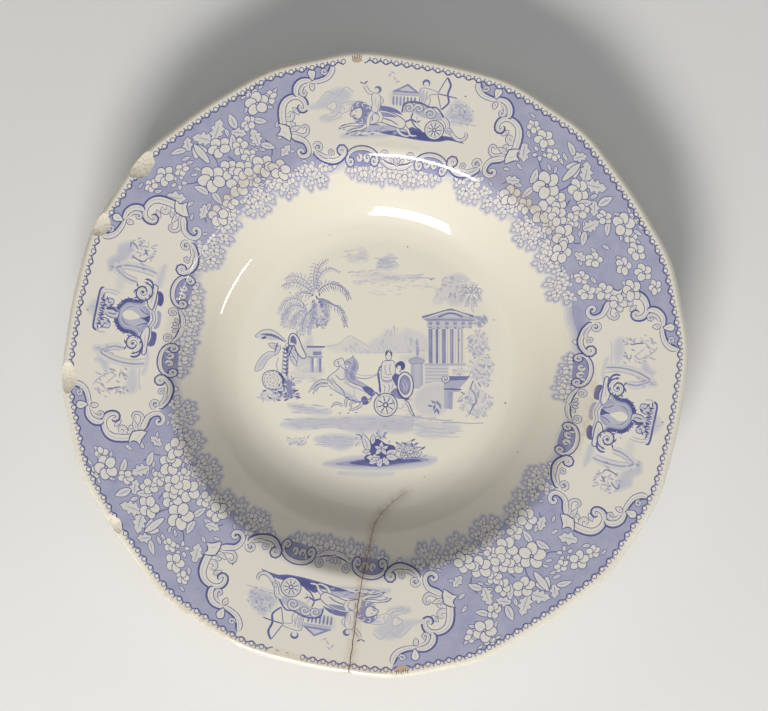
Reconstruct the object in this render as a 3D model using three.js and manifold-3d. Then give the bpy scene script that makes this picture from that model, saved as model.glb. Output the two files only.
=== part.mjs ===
// A rimmed soup plate of glazed earthenware, about 266 mm across, chipped and cracked.
//
// The body is one piece, thrown and pressed on a mould: a flat floor, a coved wall, a rounded shoulder
// and a broad rim whose edge has eight long shallow panels. Between two panels the edge comes to a
// bracket-shaped corner, which is two small swells with a nick between them.
// Four flakes are missing from the rim's upper edge, and a crack runs from the edge into the well.
//
// Millimetres, +Z up. The origin is on the plate's axis at the plane that its foot stands on.

import * as THREE from 'three';
import { mergeVertices } from 'three/addons/utils/BufferGeometryUtils.js';
import Module from 'manifold-3d';

// Driving dimensions.
const EDGE_RADIUS = 132.5; // mean radius of the panelled edge
const EDGE_TOP = 38; // height of the rim's upper surface at the edge
const WALL = 4.8; // thickness of the wall and rim, square to the surface
const RIM_SLOPE = THREE.MathUtils.degToRad( 7 ); // the rim rises outwards
const WALL_SLOPE = THREE.MathUtils.degToRad( 48 ); // steepness of the well's wall
const SHOULDER_RADIUS = 90; // where the lines of the wall and the rim would meet
const SHOULDER_ROUND = 9; // rounding of the shoulder, on its upper side
const COVE_ROUND = 30; // curve between the wall and the floor, on its upper side
const FLOOR_TOP = 6; // height of the floor's upper surface
const FLOOR_UNDER = 1.8; // height of the floor's underside within the foot ring
const FOOT = { inner: 64.5, outer: 67.5, slope: 2, rise: 3.2 }; // flat of the foot ring and its sides

// The edge's outline: eight panels, each a cosine, with two harmonics that make the bracket corners.
const PANELS = 8;
const CORNER_ANGLE = THREE.MathUtils.degToRad( 11.25 );
const SCALLOP = { swell: 0.78, flat: 0.36, nick: 0.22 };
const STEPS_PER_PANEL = 16;

// Flakes lost from the upper edge, as hollows cut by an ellipsoid. `inset` is how far inside the edge
// the hollow is centred, `along` and `reach` are its half-width and its half-depth from the edge as
// they show on the rim, and `depth` is how deep it goes.
const CHIPS = [
	{ name: 'upper_left', angle: 139.5, inset: 2.4, along: 7.0, reach: 6.6, depth: 1.7 },
	{ name: 'left_of_it', angle: 153.0, inset: 2.6, along: 5.4, reach: 4.9, depth: 1.5 },
	{ name: 'far_left', angle: 182.3, inset: 1.8, along: 7.0, reach: 6.0, depth: 1.6 },
	{ name: 'lower_left', angle: 211.5, inset: 1.2, along: 4.7, reach: 4.4, depth: 1.3 },
];
const CHIP_BOW = 6; // half-height of the cutting ellipsoid

// The crack, from just outside the edge into the well, seen from above, with its width at both ends.
const CRACK_ROUTE = [
	[ - 12.1, - 136 ], [ - 9.1, - 115 ], [ - 6.4, - 96 ], [ - 3.2, - 81.4 ],
	[ - 0.2, - 70.1 ], [ 6.3, - 62.4 ], [ 12.9, - 57.4 ],
];
const CRACK_WIDTH = { edge: 0.34, tip: 0.1 };
const CRACK_STEPS = 18;

const wasm = await Module();
wasm.setup();

// A closed three.js geometry as a solid that can be cut.
function solidOf( geometry ) {

	const bare = geometry.clone();
	bare.deleteAttribute( 'normal' );
	bare.deleteAttribute( 'uv' );
	const merged = mergeVertices( bare, 1e-4 );
	return new wasm.Manifold( new wasm.Mesh( {
		numProp: 3,
		vertProperties: merged.attributes.position.array,
		triVerts: new Uint32Array( merged.index.array ),
	} ) );

}

// A solid back to a three.js geometry, with flat facets.
function geometryOf( solid ) {

	const mesh = solid.getMesh();
	const geometry = new THREE.BufferGeometry();
	geometry.setAttribute( 'position', new THREE.BufferAttribute( mesh.vertProperties, 3 ) );
	geometry.setIndex( new THREE.BufferAttribute( mesh.triVerts, 1 ) );
	const faceted = geometry.toNonIndexed();
	faceted.computeVertexNormals();
	return faceted;

}

// How far the edge stands outside its mean radius, at an angle about the axis.
function scallop( angle ) {

	const turn = PANELS * ( angle - CORNER_ANGLE );
	return SCALLOP.swell * Math.cos( turn )
		- SCALLOP.flat * Math.cos( 2 * turn )
		- SCALLOP.nick * Math.cos( 3 * turn );

}

// Centres of the two curves that join floor, wall and rim. Each is shared by both faces of the wall.
const shoulderTop = EDGE_TOP - ( EDGE_RADIUS - SHOULDER_RADIUS ) * Math.tan( RIM_SLOPE );
const shoulderReach = SHOULDER_ROUND * Math.tan( ( WALL_SLOPE - RIM_SLOPE ) / 2 );
const shoulderCentre = new THREE.Vector2(
	SHOULDER_RADIUS + shoulderReach * Math.cos( RIM_SLOPE ) + SHOULDER_ROUND * Math.sin( RIM_SLOPE ),
	shoulderTop + shoulderReach * Math.sin( RIM_SLOPE ) - SHOULDER_ROUND * Math.cos( RIM_SLOPE ),
);
const coveTop = FLOOR_TOP + COVE_ROUND * ( 1 - Math.cos( WALL_SLOPE ) );
const coveCentre = new THREE.Vector2(
	SHOULDER_RADIUS - ( shoulderTop - coveTop ) / Math.tan( WALL_SLOPE ) - COVE_ROUND * Math.sin( WALL_SLOPE ),
	FLOOR_TOP + COVE_ROUND,
);
const lipCentre = new THREE.Vector2( EDGE_RADIUS - WALL / 2, EDGE_TOP - WALL / 2 );

// A stretch of circle from one direction to another, angles measured from +X in the section's plane.
function arcPoints( centre, radius, from, to, steps ) {

	return Array.from( { length: steps + 1 }, ( _, i ) => {

		const a = THREE.MathUtils.lerp( from, to, i / steps );
		return new THREE.Vector2( centre.x + radius * Math.cos( a ), centre.y + radius * Math.sin( a ) );

	} );

}

// Half of the plate's section, from the axis under the floor, out round the edge and back over the top.
function sectionPoints() {

	const down = - Math.PI / 2;
	const up = Math.PI / 2;
	const footSide = Math.asin( ( FOOT.outer + FOOT.slope - coveCentre.x ) / ( COVE_ROUND + WALL ) );
	return [
		new THREE.Vector2( 0, FLOOR_UNDER ),
		new THREE.Vector2( FOOT.inner - FOOT.slope, FLOOR_UNDER ),
		new THREE.Vector2( FOOT.inner, 0 ),
		new THREE.Vector2( FOOT.outer, 0 ),
		new THREE.Vector2( FOOT.outer + FOOT.slope / 2, FOOT.rise ),
		...arcPoints( coveCentre, COVE_ROUND + WALL, down + footSide, down + WALL_SLOPE, 3 ),
		...arcPoints( shoulderCentre, SHOULDER_ROUND - WALL, up + WALL_SLOPE, up + RIM_SLOPE, 3 ),
		...arcPoints( lipCentre, WALL / 2, down + RIM_SLOPE, up + RIM_SLOPE, 7 ),
		...arcPoints( shoulderCentre, SHOULDER_ROUND, up + RIM_SLOPE, up + WALL_SLOPE, 5 ),
		...arcPoints( coveCentre, COVE_ROUND, down + WALL_SLOPE, down, 7 ),
		new THREE.Vector2( 0, FLOOR_TOP ),
	];

}

// The whole plate as it left the kiln: the section turned about the axis, with its edge panelled.
function soundPlate() {

	const geometry = new THREE.LatheGeometry( sectionPoints(), PANELS * STEPS_PER_PANEL );
	geometry.rotateX( Math.PI / 2 );
	const position = geometry.attributes.position;
	for ( let i = 0; i < position.count; i ++ ) {

		const x = position.getX( i );
		const y = position.getY( i );
		const radius = Math.hypot( x, y );
		const share = THREE.MathUtils.smoothstep( radius, shoulderCentre.x, lipCentre.x );
		if ( share === 0 ) continue;
		const stretch = 1 + share * scallop( Math.atan2( y, x ) ) / radius;
		position.setXY( i, x * stretch, y * stretch );

	}

	return solidOf( geometry );

}

// The ellipsoid that cuts one missing flake.
function chipCutter( { angle, inset, along, reach, depth } ) {

	const turn = THREE.MathUtils.degToRad( angle );
	const spread = 1 / Math.sqrt( 1 - ( 1 - depth / CHIP_BOW ) ** 2 );
	const radius = EDGE_RADIUS + scallop( turn ) - inset;
	const ellipsoid = new THREE.SphereGeometry( 1, 40, 28 );
	ellipsoid.scale( reach * spread, along * spread, CHIP_BOW );
	ellipsoid.rotateZ( turn );
	ellipsoid.translate( radius * Math.cos( turn ), radius * Math.sin( turn ), EDGE_TOP + CHIP_BOW - depth );
	return solidOf( ellipsoid );

}

// The crack as a thin upright blade that tapers to its tip and passes right through the wall.
function crackCutter() {

	const route = new THREE.SplineCurve( CRACK_ROUTE.map( ( [ x, y ] ) => new THREE.Vector2( x, y ) ) );
	const left = [];
	const right = [];
	for ( let i = 0; i <= CRACK_STEPS; i ++ ) {

		const t = i / CRACK_STEPS;
		const at = route.getPointAt( t );
		const along = route.getTangentAt( t );
		const half = THREE.MathUtils.lerp( CRACK_WIDTH.edge, CRACK_WIDTH.tip, t ) / 2;
		left.push( new THREE.Vector2( at.x - along.y * half, at.y + along.x * half ) );
		right.unshift( new THREE.Vector2( at.x + along.y * half, at.y - along.x * half ) );

	}

	const blade = new THREE.ExtrudeGeometry( new THREE.Shape( [ ...left, ...right ] ), {
		depth: EDGE_TOP + WALL,
		bevelEnabled: false,
	} );
	blade.translate( 0, 0, - WALL / 2 );
	return solidOf( blade );

}

const cutters = [ ...CHIPS.map( chipCutter ), crackCutter() ];
const broken = cutters.reduce( ( body, cutter ) => body.subtract( cutter ), soundPlate() );

const glazedWare = new THREE.MeshStandardMaterial( { color: 0xded9cc, roughness: 0.15, metalness: 0 } );
const plate = new THREE.Mesh( geometryOf( broken ), glazedWare );
plate.name = 'plate';

const group = new THREE.Group();
group.add( plate );

export default group;
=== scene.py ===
# A rimmed soup plate of glazed earthenware with a blue transfer print, chipped and cracked.
#
# The plate is one piece. Its sections follow the way it was made: the pressed body, the print laid on
# it band by band under the glaze, then the flakes, the crack and the dirt that came with use.
# Drawing is in millimetres, and a point of the print is one complex number, x + y j, seen from above.

import math
import random

import bmesh
import bpy
import numpy as np
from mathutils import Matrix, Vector
from mathutils.geometry import delaunay_2d_cdt


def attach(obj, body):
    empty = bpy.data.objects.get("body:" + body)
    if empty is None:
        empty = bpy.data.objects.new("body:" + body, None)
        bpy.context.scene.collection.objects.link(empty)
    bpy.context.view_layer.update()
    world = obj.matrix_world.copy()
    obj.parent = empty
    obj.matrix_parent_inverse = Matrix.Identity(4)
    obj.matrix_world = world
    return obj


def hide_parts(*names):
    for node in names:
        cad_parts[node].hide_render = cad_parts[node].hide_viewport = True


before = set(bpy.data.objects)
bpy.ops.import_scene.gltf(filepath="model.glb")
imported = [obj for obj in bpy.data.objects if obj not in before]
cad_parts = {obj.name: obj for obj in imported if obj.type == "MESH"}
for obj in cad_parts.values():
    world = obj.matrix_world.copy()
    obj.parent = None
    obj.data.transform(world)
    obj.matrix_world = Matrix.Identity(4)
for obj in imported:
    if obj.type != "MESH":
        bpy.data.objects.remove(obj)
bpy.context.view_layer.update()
MM = 0.001


# ---- The pressed body --------------------------------------------------------------------------
# White earthenware pressed on a mould: a flat floor, a coved wall, a rounded shoulder and a broad rim
# whose edge has eight shallow panels with bracket corners. It stands on a foot ring.

EDGE_RADIUS = 132.5
EDGE_TOP = 38.0
WALL = 4.8
RIM_SLOPE = math.radians(7)
WALL_SLOPE = math.radians(48)
FLOOR_TOP = 6.0
SHOULDER_CENTRE = (94.437, 24.259)
SHOULDER_ROUND = 9.0
COVE_CENTRE = (52.529, 36.0)
COVE_ROUND = 30.0
LIP_CENTRE = (EDGE_RADIUS - WALL / 2, EDGE_TOP - WALL / 2)
LIP_ROUND = WALL / 2 - 0.02
PANELS = 8
LIP_STEPS = 60
RIM_MIDDLE = 102.0  # where the rim's drawings are true to scale along the edge


def arc(centre, radius, start, end, steps):
    """Points of the section along part of a circle, as rows of radius and height."""
    a = np.linspace(start, end, steps)
    return np.column_stack([centre[0] + radius * np.cos(a), centre[1] + radius * np.sin(a)])


up = math.pi / 2
top_section = np.vstack(
    [
        [[0, FLOOR_TOP]],
        arc(COVE_CENTRE, COVE_ROUND, -up, WALL_SLOPE - up, 60),
        arc(SHOULDER_CENTRE, SHOULDER_ROUND, up + WALL_SLOPE, up + RIM_SLOPE, 60),
        arc(LIP_CENTRE, LIP_ROUND, up + RIM_SLOPE, RIM_SLOPE - up, LIP_STEPS),
    ]
)
FOOT = ((62.5, 1.8), (64.3, 0.2), (64.7, 0), (67.2, 0), (67.6, 0.3), (68.5, 3.2))
FOOT_MEETS_WALL = 69.5
foot_side = math.asin((FOOT_MEETS_WALL - COVE_CENTRE[0]) / (COVE_ROUND + WALL))
under_section = np.vstack(
    [
        [(0, FOOT[0][1]), *FOOT],
        arc(COVE_CENTRE, COVE_ROUND + WALL, foot_side - up, WALL_SLOPE - up, 30),
        arc(SHOULDER_CENTRE, SHOULDER_ROUND - WALL, up + WALL_SLOPE, up + RIM_SLOPE, 30),
        top_section[-1:],
    ]
)

# The top is drawn on a flat disc: its distance from the middle is the plate's own radius as far as
# the lip, and then runs on round the lip by its length.
lip_start = len(top_section) - LIP_STEPS
run_round_lip = np.cumsum(np.hypot(*np.diff(top_section[lip_start:], axis=0).T))
top_run = np.concatenate([top_section[: lip_start + 1, 0], top_section[lip_start, 0] + run_round_lip])
LIP_RUN = top_run[lip_start]
OUTER_RUN = top_run[-1]


def scallop(angle):
    """How far the panelled edge stands outside its mean radius."""
    turn = PANELS * (angle - math.radians(11.25))
    return 0.78 * np.cos(turn) - 0.36 * np.cos(2 * turn) - 0.22 * np.cos(3 * turn)


def panelled(radius, height, angle):
    """Places on the plate, from a section's radius and height and an angle about the axis."""
    share = np.clip((radius - SHOULDER_CENTRE[0]) / (LIP_CENTRE[0] - SHOULDER_CENTRE[0]), 0, 1)
    reach = radius + share**2 * (3 - 2 * share) * scallop(angle)
    return np.column_stack([reach * np.cos(angle), reach * np.sin(angle), height])


def on_top(flat):
    """Points of the flat drawing, as places on the plate's upper side and lip."""
    run = abs(flat)
    radius = np.interp(run, top_run, top_section[:, 0])
    return panelled(radius, np.interp(run, top_run, top_section[:, 1]), np.angle(flat))


def on_underside(flat):
    """Points of the flat drawing, as places on the underside."""
    height = np.interp(abs(flat), under_section[:, 0], under_section[:, 1])
    return panelled(abs(flat), height, np.angle(flat))


def facing(surface, flat):
    """Which way a surface faces at points of the flat drawing."""
    step = 0.02
    out = flat / np.maximum(abs(flat), 1e-6)
    along_radius = surface(flat + out * step) - surface(flat - out * step)
    along_edge = surface(flat + 1j * out * step) - surface(flat - 1j * out * step)
    normal = np.cross(along_radius, along_edge)
    return normal / np.maximum(np.linalg.norm(normal, axis=1, keepdims=True), 1e-12)


# ---- The print's ground and the well's garland ---------------------------------------------------
# The print is inked paper rubbed down on the body before glazing. Its blue ground covers the rim and
# ends in a chain of small white flowers and leaves that hangs over the shoulder into the well.
#
# A band of the print is a list of (outline, tone) pairs, laid in order, each over the ones before.

BARE = 0.0
PALE = 0.05
WASH = 0.2
MID = 0.34
GROUND = 0.5
LINE = 0.86
DARK = 1.0
TINT = 1.5
RUST = 2.0
hand = random.Random(7)
printed = []


def path(*numbers):
    """Points from x, y, x, y and so on."""
    return np.array(numbers[0::2], float) + 1j * np.array(numbers[1::2], float)


def smooth(points, step=0.8, closed=False):
    """A rounded line through some points, cut into steps."""
    if closed:
        guide = np.concatenate([points[-1:], points, points[:2]])
    else:
        guide = np.concatenate([[2 * points[0] - points[1]], points, [2 * points[-1] - points[-2]]])
    pieces = []
    for a, b, c, d in zip(guide, guide[1:], guide[2:], guide[3:]):
        t = np.arange(max(1, round(abs(c - b) / step))) / max(1, round(abs(c - b) / step))
        pieces.append(b + t / 2 * (c - a + t * (2 * a - 5 * b + 4 * c - d + t * (3 * b - 3 * c + d - a))))
    if not closed:
        pieces.append(points[-1:])
    return np.concatenate(pieces)


def blob(*numbers, step=0.8):
    """A rounded closed shape through points given as x, y, x, y."""
    return smooth(path(*numbers), step, closed=True)


def oval(centre, wide, high=None, turn=0.0):
    """An ellipse, with as many sides as its size asks for."""
    high = wide if high is None else high
    sides = max(6, round(2 * math.pi * max(wide, high) / 0.8))
    a = np.arange(sides) / sides * 2 * math.pi
    return centre + (wide * np.cos(a) + 1j * high * np.sin(a)) * np.exp(1j * math.radians(turn))


def stroke(route, width, blunt=0.25):
    """The outline of a pen stroke. Its width runs through the numbers given, and its ends thin down."""
    along = np.gradient(route)
    along = along / np.maximum(abs(along), 1e-9)
    width = np.atleast_1d(width)
    half = np.interp(np.linspace(0, 1, len(route)), np.linspace(0, 1, len(width)), width) / 2
    run = np.concatenate([[0], np.cumsum(abs(np.diff(route)))])
    from_end = np.clip(np.minimum(run, run[-1] - run) / (1.6 * half), 0, 1)
    half = half * (blunt + (1 - blunt) * np.sqrt(from_end))
    return np.concatenate([route + 1j * along * half, (route - 1j * along * half)[::-1]])


def grown(outline, by):
    """An outline moved outwards all round."""
    along = np.roll(outline, -1) - np.roll(outline, 1)
    along = along / np.maximum(abs(along), 1e-9)
    turning = np.sum(outline.real * np.roll(outline, -1).imag - outline.imag * np.roll(outline, -1).real)
    return outline - 1j * along * by * (1 if turning > 0 else -1)


def mirrored(band):
    """The same shapes with left and right changed over."""
    return [(-outline.conj(), tone) for outline, tone in band]


def on_rim(angle, stretch=1.0, lift=0.0):
    """Lays a drawing on the rim: x runs clockwise from the angle, y is the distance from the axis."""
    turn = math.radians(angle)
    return lambda outline: (outline.imag + lift) * np.exp(1j * (turn - outline.real * stretch / RIM_MIDDLE))


def lay(band, place=None):
    """Adds shapes to the print."""
    for outline, tone in band:
        printed.append((place(outline) if place else outline, tone))


BEADS = 180
BEAD_LINE = 128.5
GROUND_SHIFT = -0.1j


def bead_line(first, last, steps):
    """The scalloped line of the border between two beads, which dips inwards at each bead."""
    k = np.linspace(first, last, steps)
    dip = 0.5 + 0.5 * np.cos(2 * math.pi * k)
    return (BEAD_LINE - 1.15 * dip) * np.exp(2j * math.pi * k / BEADS) + GROUND_SHIFT


def flower(x, y, size, face=0.0, centre=None, edge=LINE):
    """A flower of five rounded, overlapping petals, each with its outline, and a small eye."""
    turn = hand.uniform(0, 72)
    squash = hand.uniform(0.84, 0.98)
    lean = np.exp(1j * hand.uniform(0, math.pi))
    middle = x + 1j * y
    band = []
    for k in range(5):
        way = turn + 72 * k + hand.uniform(-5, 5)
        reach = size * hand.uniform(0.94, 1.06)
        at = 0.55 * reach * np.exp(1j * math.radians(way))
        petal = oval(at, 0.47 * reach, 0.41 * size - 0.05, way)
        petal = lean * ((petal / lean).real + 1j * (petal / lean).imag * squash)
        band.append((grown(middle + petal, 0.15 + 0.04 * size), edge))
        band.append((middle + petal, PALE + face))
        if size > 3.2:
            vein = lean * ((at / lean).real + 1j * (at / lean).imag * squash)
            band.append((stroke(middle + vein * np.array([0.45, 0.85, 1.25]), 0.26), MID))
    eye = [(oval(middle, size * 0.17), LINE if centre is None else centre)]
    if size > 2.6:
        eye.append((oval(middle, size * 0.07), PALE))
    return band + eye


def leaf(x0, y0, x1, y1, wide=None, lobes=0, face=0.06, edge=LINE):
    """An outlined leaf from its stalk to its point, plain or with lobes, and with a middle vein."""
    start = x0 + 1j * y0
    along = x1 + 1j * y1 - start
    wide = abs(along) * (0.52 if lobes else 0.4) if wide is None else wide
    side = 1j * along / abs(along)
    t = np.linspace(0, 1, max(6, 4 + 3 * lobes, round(abs(along) / 0.8)))
    swell = np.sin(math.pi * t**0.85) ** 0.85 * wide / 2
    swell = swell * (1 + (0.34 * np.cos(2 * math.pi * lobes * (t - 0.06)) if lobes else 0))
    bend = side * abs(along) * hand.uniform(-0.07, 0.07) * np.sin(math.pi * t)
    spine = start + along * t + bend
    outline = np.concatenate([spine + side * swell, (spine - side * swell)[-2:0:-1]])
    band = [(grown(outline, 0.3), edge), (outline, PALE + face)]
    vein = spine[(t > 0.05) & (t < 0.8)]
    if abs(along) > 2.6:
        band.append((stroke(vein[:: max(1, len(vein) // 4)], 0.34), GROUND + 0.1))
    if abs(along) > 4.2:
        for s in (0.3, 0.5, 0.68):
            root = start + along * s
            for turn in (1, -1):
                rib = along / abs(along) * wide * 0.3 + turn * side * wide * 0.3
                band.append((stroke(root + rib * np.array([0.1, 0.55, 1]), 0.22), MID))
    return band


GARLAND_LINE = 0.66


def posy(x, y, size, *bearings):
    """A small flower with a leaf at each of the bearings given."""
    band = []
    for bearing in bearings:
        way = np.exp(1j * math.radians(bearing + hand.uniform(-8, 8)))
        root = x + 1j * y + way * size * 0.7
        tip = root + way * hand.uniform(2.2, 2.8)
        band += leaf(root.real, root.imag, tip.real, tip.imag, 1.9, edge=GARLAND_LINE)
    return band + flower(x, y, size, edge=GARLAND_LINE)


under_spray = []
for x, y, size, *bearings in (
    (-42.4, 86.4, 2.0, 120, 200, 250),
    (-38.4, 83.0, 2.0, 200, 250, 300),
    (-36.2, 87.2, 2.5, 60, 110),
    (-33.6, 83.6, 1.9, 260, 310, 0),
    (-30.0, 86.6, 1.7, 20, 330),
    (-24.6, 84.2, 1.8, 190, 240, 290),
    (-20.6, 87.0, 2.5, 150, 285),
    (-16.2, 85.8, 1.9, 240, 300),
    (-13.2, 88.8, 2.2, 110, 320, 20),
    (-4.4, 84.8, 1.9, 150, 200, 245),
    (-2.6, 88.2, 2.0, 170),
    (0.6, 85.2, 2.6, 90),
    (0.4, 81.8, 1.5, 215, 325),
    (5.2, 84.8, 1.9, 300, 340, 30),
    (3.4, 88.4, 1.9, 10),
    (11.4, 88.6, 2.2, 170, 220, 80),
    (15.4, 85.8, 2.6, 190, 235),
    (17.2, 82.4, 1.5, 220, 330),
    (20.4, 86.6, 2.2, 300, 20),
    (25.6, 87.6, 1.8, 240, 20),
    (31.6, 85.8, 2.5, 120, 190, 60),
    (29.4, 82.8, 1.6, 190, 250),
    (34.8, 82.8, 1.8, 240, 290, 340),
    (38.0, 86.6, 2.0, 330, 30),
):
    under_spray += posy(x, y + 1.2, size * 1.3, *bearings)

under_frame = []
for x, y, size, *bearings in (
    (-22.4, 84.2, 2.0, 190, 240),
    (-17.6, 82.8, 2.3, 130, 235, 290),
    (-12.4, 82.2, 2.0, 60, 250, 300),
    (-7.4, 81.4, 2.4, 120, 220, 280),
    (-1.8, 82.0, 2.2, 70, 250, 300),
    (3.6, 81.2, 2.6, 110, 230, 285),
    (9.4, 81.4, 2.2, 60, 250, 300),
    (14.8, 82.6, 2.4, 110, 250, 320),
    (20.2, 84.0, 2.0, 80, 290, 340),
):
    under_frame += posy(x, y + 0.9, size * 1.25, *bearings)


def halo(band, by, tone):
    """A paler rim round the shapes of a band, where the ground ends close behind them."""
    return [(grown(outline, by), tone) for outline, edge in band if edge == GARLAND_LINE]


# ---- The floral sprays ---------------------------------------------------------------------------
# Between the frames the ground carries the same spray four times: large white flowers with lobed and
# plain leaves, a hanging bell and a sprig of buds, all left white in the blue with fine dark outlines.

spray = []
for x0, y0, x1, y1, x2, y2 in (
    (1.2, 109, 2.4, 105, 1.6, 101),
    (-6, 104.5, -5.2, 101.5, -6.4, 98.5),
    (-3.5, 115.5, -3.2, 111, -4.4, 107),
    (-15, 101.5, -12, 103.5, -9, 104),
    (10.5, 113, 9, 117, 9.6, 120),
    (-19.5, 112, -16, 109, -13, 108),
    (17, 99, 19, 103, 17.5, 107),
    (-25, 94, -22, 98, -19, 99.5),
):
    spray.append((stroke(smooth(path(x0, y0, x1, y1, x2, y2)), 0.5), LINE))

for x0, y0, x1, y1 in (
    (-9.5, 121.5, -14.8, 124.3),
    (-15, 101.5, -17, 108),
    (-13, 101.5, -13.8, 94.5),
    (9.8, 116.8, 10.3, 124),
    (5.8, 116, 6.3, 119.6),
    (4, 110, 7.5, 116),
    (15, 106, 20, 101.5),
    (17, 117, 21.5, 113),
    (-17, 98.5, -21, 96.9),
    (-13.3, 119.4, -10, 118.3),
    (-13.3, 116.8, -10.2, 116),
    (-14.8, 112.2, -12.2, 110.5),
    (-12, 113.6, -10.4, 111),
    (-14.6, 109, -12.3, 107.3),
    (15.2, 120.6, 17, 122.6),
    (16.4, 123.2, 18.6, 124.6),
    (16.2, 126.8, 18.6, 126.2),
    (23.2, 126.6, 25.6, 127.4),
    (26.8, 122.4, 29.4, 123.8),
    (21, 118.8, 23, 116.8),
    (23.2, 118.8, 25.6, 117),
    (11.4, 108.8, 13.4, 106.2),
    (11, 106, 13.2, 104),
    (13.8, 104.4, 16, 102.6),
    (5.6, 91.8, 8, 89.8),
    (7.4, 93.2, 9.8, 91.6),
    (11, 92.4, 13.2, 90.6),
    (-28.4, 118.6, -26, 116.4),
    (-28.4, 124.4, -31, 124.8),
    (-21.6, 103.8, -24.8, 104.6),
    (-23.4, 108.4, -26.4, 109.8),
    (22.4, 104.6, 25.8, 105.8),
    (23.6, 109.2, 26.4, 111.2),
    (24.6, 98.2, 27.4, 97),
    (-25.6, 100.8, -28.4, 99.8),
    (23.6, 90.6, 25.6, 89.4),
    (28.8, 92.6, 31, 91),
    (-30.4, 92.4, -28.2, 91),
):
    spray += leaf(x0, y0, x1, y1)

for x0, y0, x1, y1, lobes in (
    (-9, 120.6, -6.2, 125.8, 3),
    (0, 117.6, -5.2, 124.6, 4),
    (0.4, 118, 6.8, 124.2, 4),
    (7.5, 116.8, 12.2, 112.4, 3),
    (14.2, 105.6, 14.8, 113.6, 4),
    (-19.2, 99.5, -25.4, 96.8, 3),
    (21, 97.4, 26.4, 100.4, 3),
    (-26.6, 113.6, -22.6, 106.6, 3),
):
    spray += leaf(x0, y0, x1, y1, lobes=lobes)

# The sprig of five buds, and the hanging bell with its three petals.
for turn in (18, 90, 162, 234, 306):
    reach = np.exp(1j * math.radians(turn))
    bud = -19.8 + 113.6j + reach * 2.1
    spray += leaf(*(v for p in (bud - reach, bud + reach * 1.3) for v in (p.real, p.imag)), wide=1.5)
bell = (
    blob(-6.1, 121.4, -8.2, 119.6, -9.2, 116.6, -8, 116.2, -7.2, 118.2),
    blob(-6.1, 121.4, -4.4, 119.4, -3.6, 116.2, -4.8, 116, -5.6, 118),
    blob(-6.1, 121.6, -7.4, 118, -7.1, 113.4, -6.2, 111.4, -5.2, 113.6, -5, 118),
)
for petal in bell:
    spray += [(grown(petal, 0.34), LINE), (petal, PALE + 0.05)]
spray.append((stroke(path(-6.2, 119.4, -6.2, 116, -6.2, 113.4), 0.34), MID))

for x, y, size, *centre in (
    (-15.5, 116.5, 2.7),
    (-27.4, 121.2, 2.5),
    (-21.6, 119.4, 3.5),
    (7.5, 109.2, 3.6),
    (8.5, 103.8, 3.1),
    (-2, 104.2, 4.2),
    (-18.8, 92.3, 4.5),
    (-10, 93.2, 3.4),
    (4.5, 94.2, 3.1),
    (-9.3, 105.4, 5.3, DARK),
    (-2.7, 96.2, 4.9),
    (3.3, 100.2, 4.1),
    (14.7, 116.2, 3.1),
    (20.5, 127, 2.1),
    (25.6, 121.4, 2.8),
    (20.7, 121.6, 4.5),
    (11.8, 97.2, 4.8),
    (17.6, 92.6, 4.7),
    (0.5, 114.2, 4.3),
):
    spray += flower(x, y, size * 1.08, centre=centre[0] if centre else None)

# The strip of print is joined at the upper right, where spare flowers are laid over the gap.
join = []
for x0, y0, x1, y1 in (
    (24, 124, 27, 126),
    (30, 112, 32.6, 114.4),
    (33.6, 99, 37, 100.4),
    (39.6, 110.4, 43, 112),
):
    join += leaf(x0, y0, x1, y1)
for x, y, size in (
    (31.4, 120.6, 3.7),
    (39.2, 119.6, 3.8),
    (34.4, 113.2, 3.6),
    (27.4, 103.2, 3.9),
    (44.2, 113.2, 4.3),
    (41.2, 101.8, 3.9),
    (39.4, 95.2, 3.8),
    (47.4, 106.4, 4.0),
    (32.2, 95.4, 3.4),
    (45.4, 122.6, 2.8),
):
    join += flower(x, y, size)

FRAMES = {  # bearing of the middle, stretch along the rim, lift outwards
    "right": (-11.5, 1.0, 0.0),
    "upper": (84.0, 0.98, 0.5),
    "left": (169.0, 1.0, 0.0),
    "lower": (-102.0, 1.06, -1.3),
}
SPRAYS = (41.0, -56.0, -147.5, 126.0)

# The ground's soft inner edge and the garland's halo lie under the ground itself.
around = np.arange(240) / 240 * 2 * math.pi
wave = 0.5 * np.sin(23 * around) + 0.35 * np.sin(41 * around + 1)
ground_edge = (87.6 + wave) * np.exp(1j * around)
for inset, tone in ((0, 0.3), (1.1, WASH), (2.2, 0.1), (3.3, BARE)):
    lay([(ground_edge - inset * np.exp(1j * around), tone)])
worn_garland = [item for item in under_frame if item[0].real.mean() < -1]
garlands = [(under_spray, on_rim(angle)) for angle in SPRAYS]
for name, (angle, stretch, lift) in FRAMES.items():
    row = worn_garland if name == "right" else under_frame
    garlands.append((row, on_rim(angle, stretch, lift * 0.3)))
for by, tone in ((1.3, 0.12), (0.65, 0.3)):
    for row, place in garlands:
        lay(halo(row, by, tone), place)
lay([(np.concatenate([bead_line(0, BEADS, BEADS * 6 + 1), ground_edge[::-1], ground_edge[-1:]]), GROUND)])
for row, place in garlands:
    lay(row, place)
for angle in SPRAYS:
    lay(spray, on_rim(angle))


# ---- The scrolled frames -------------------------------------------------------------------------
# Four frames of pale scrollwork break the blue ground, at the top, bottom, left and right of the rim.
# Each is the same half drawn twice: hooks and a bud at the outer corner, a great C with a forked lobe
# down the side, and at the foot a volute, a low arch over a blue fill, and a saucer in the middle.


def spiral(x, y, radius, start, sweep):
    """A coil that closes on its middle, as points from its outer end."""
    t = np.linspace(0, 1, max(8, round(radius * abs(sweep) / 75)))
    a = np.radians(start + sweep * t)
    return x + 1j * y + radius * (1 - 0.74 * t) * np.exp(1j * a)


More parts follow.
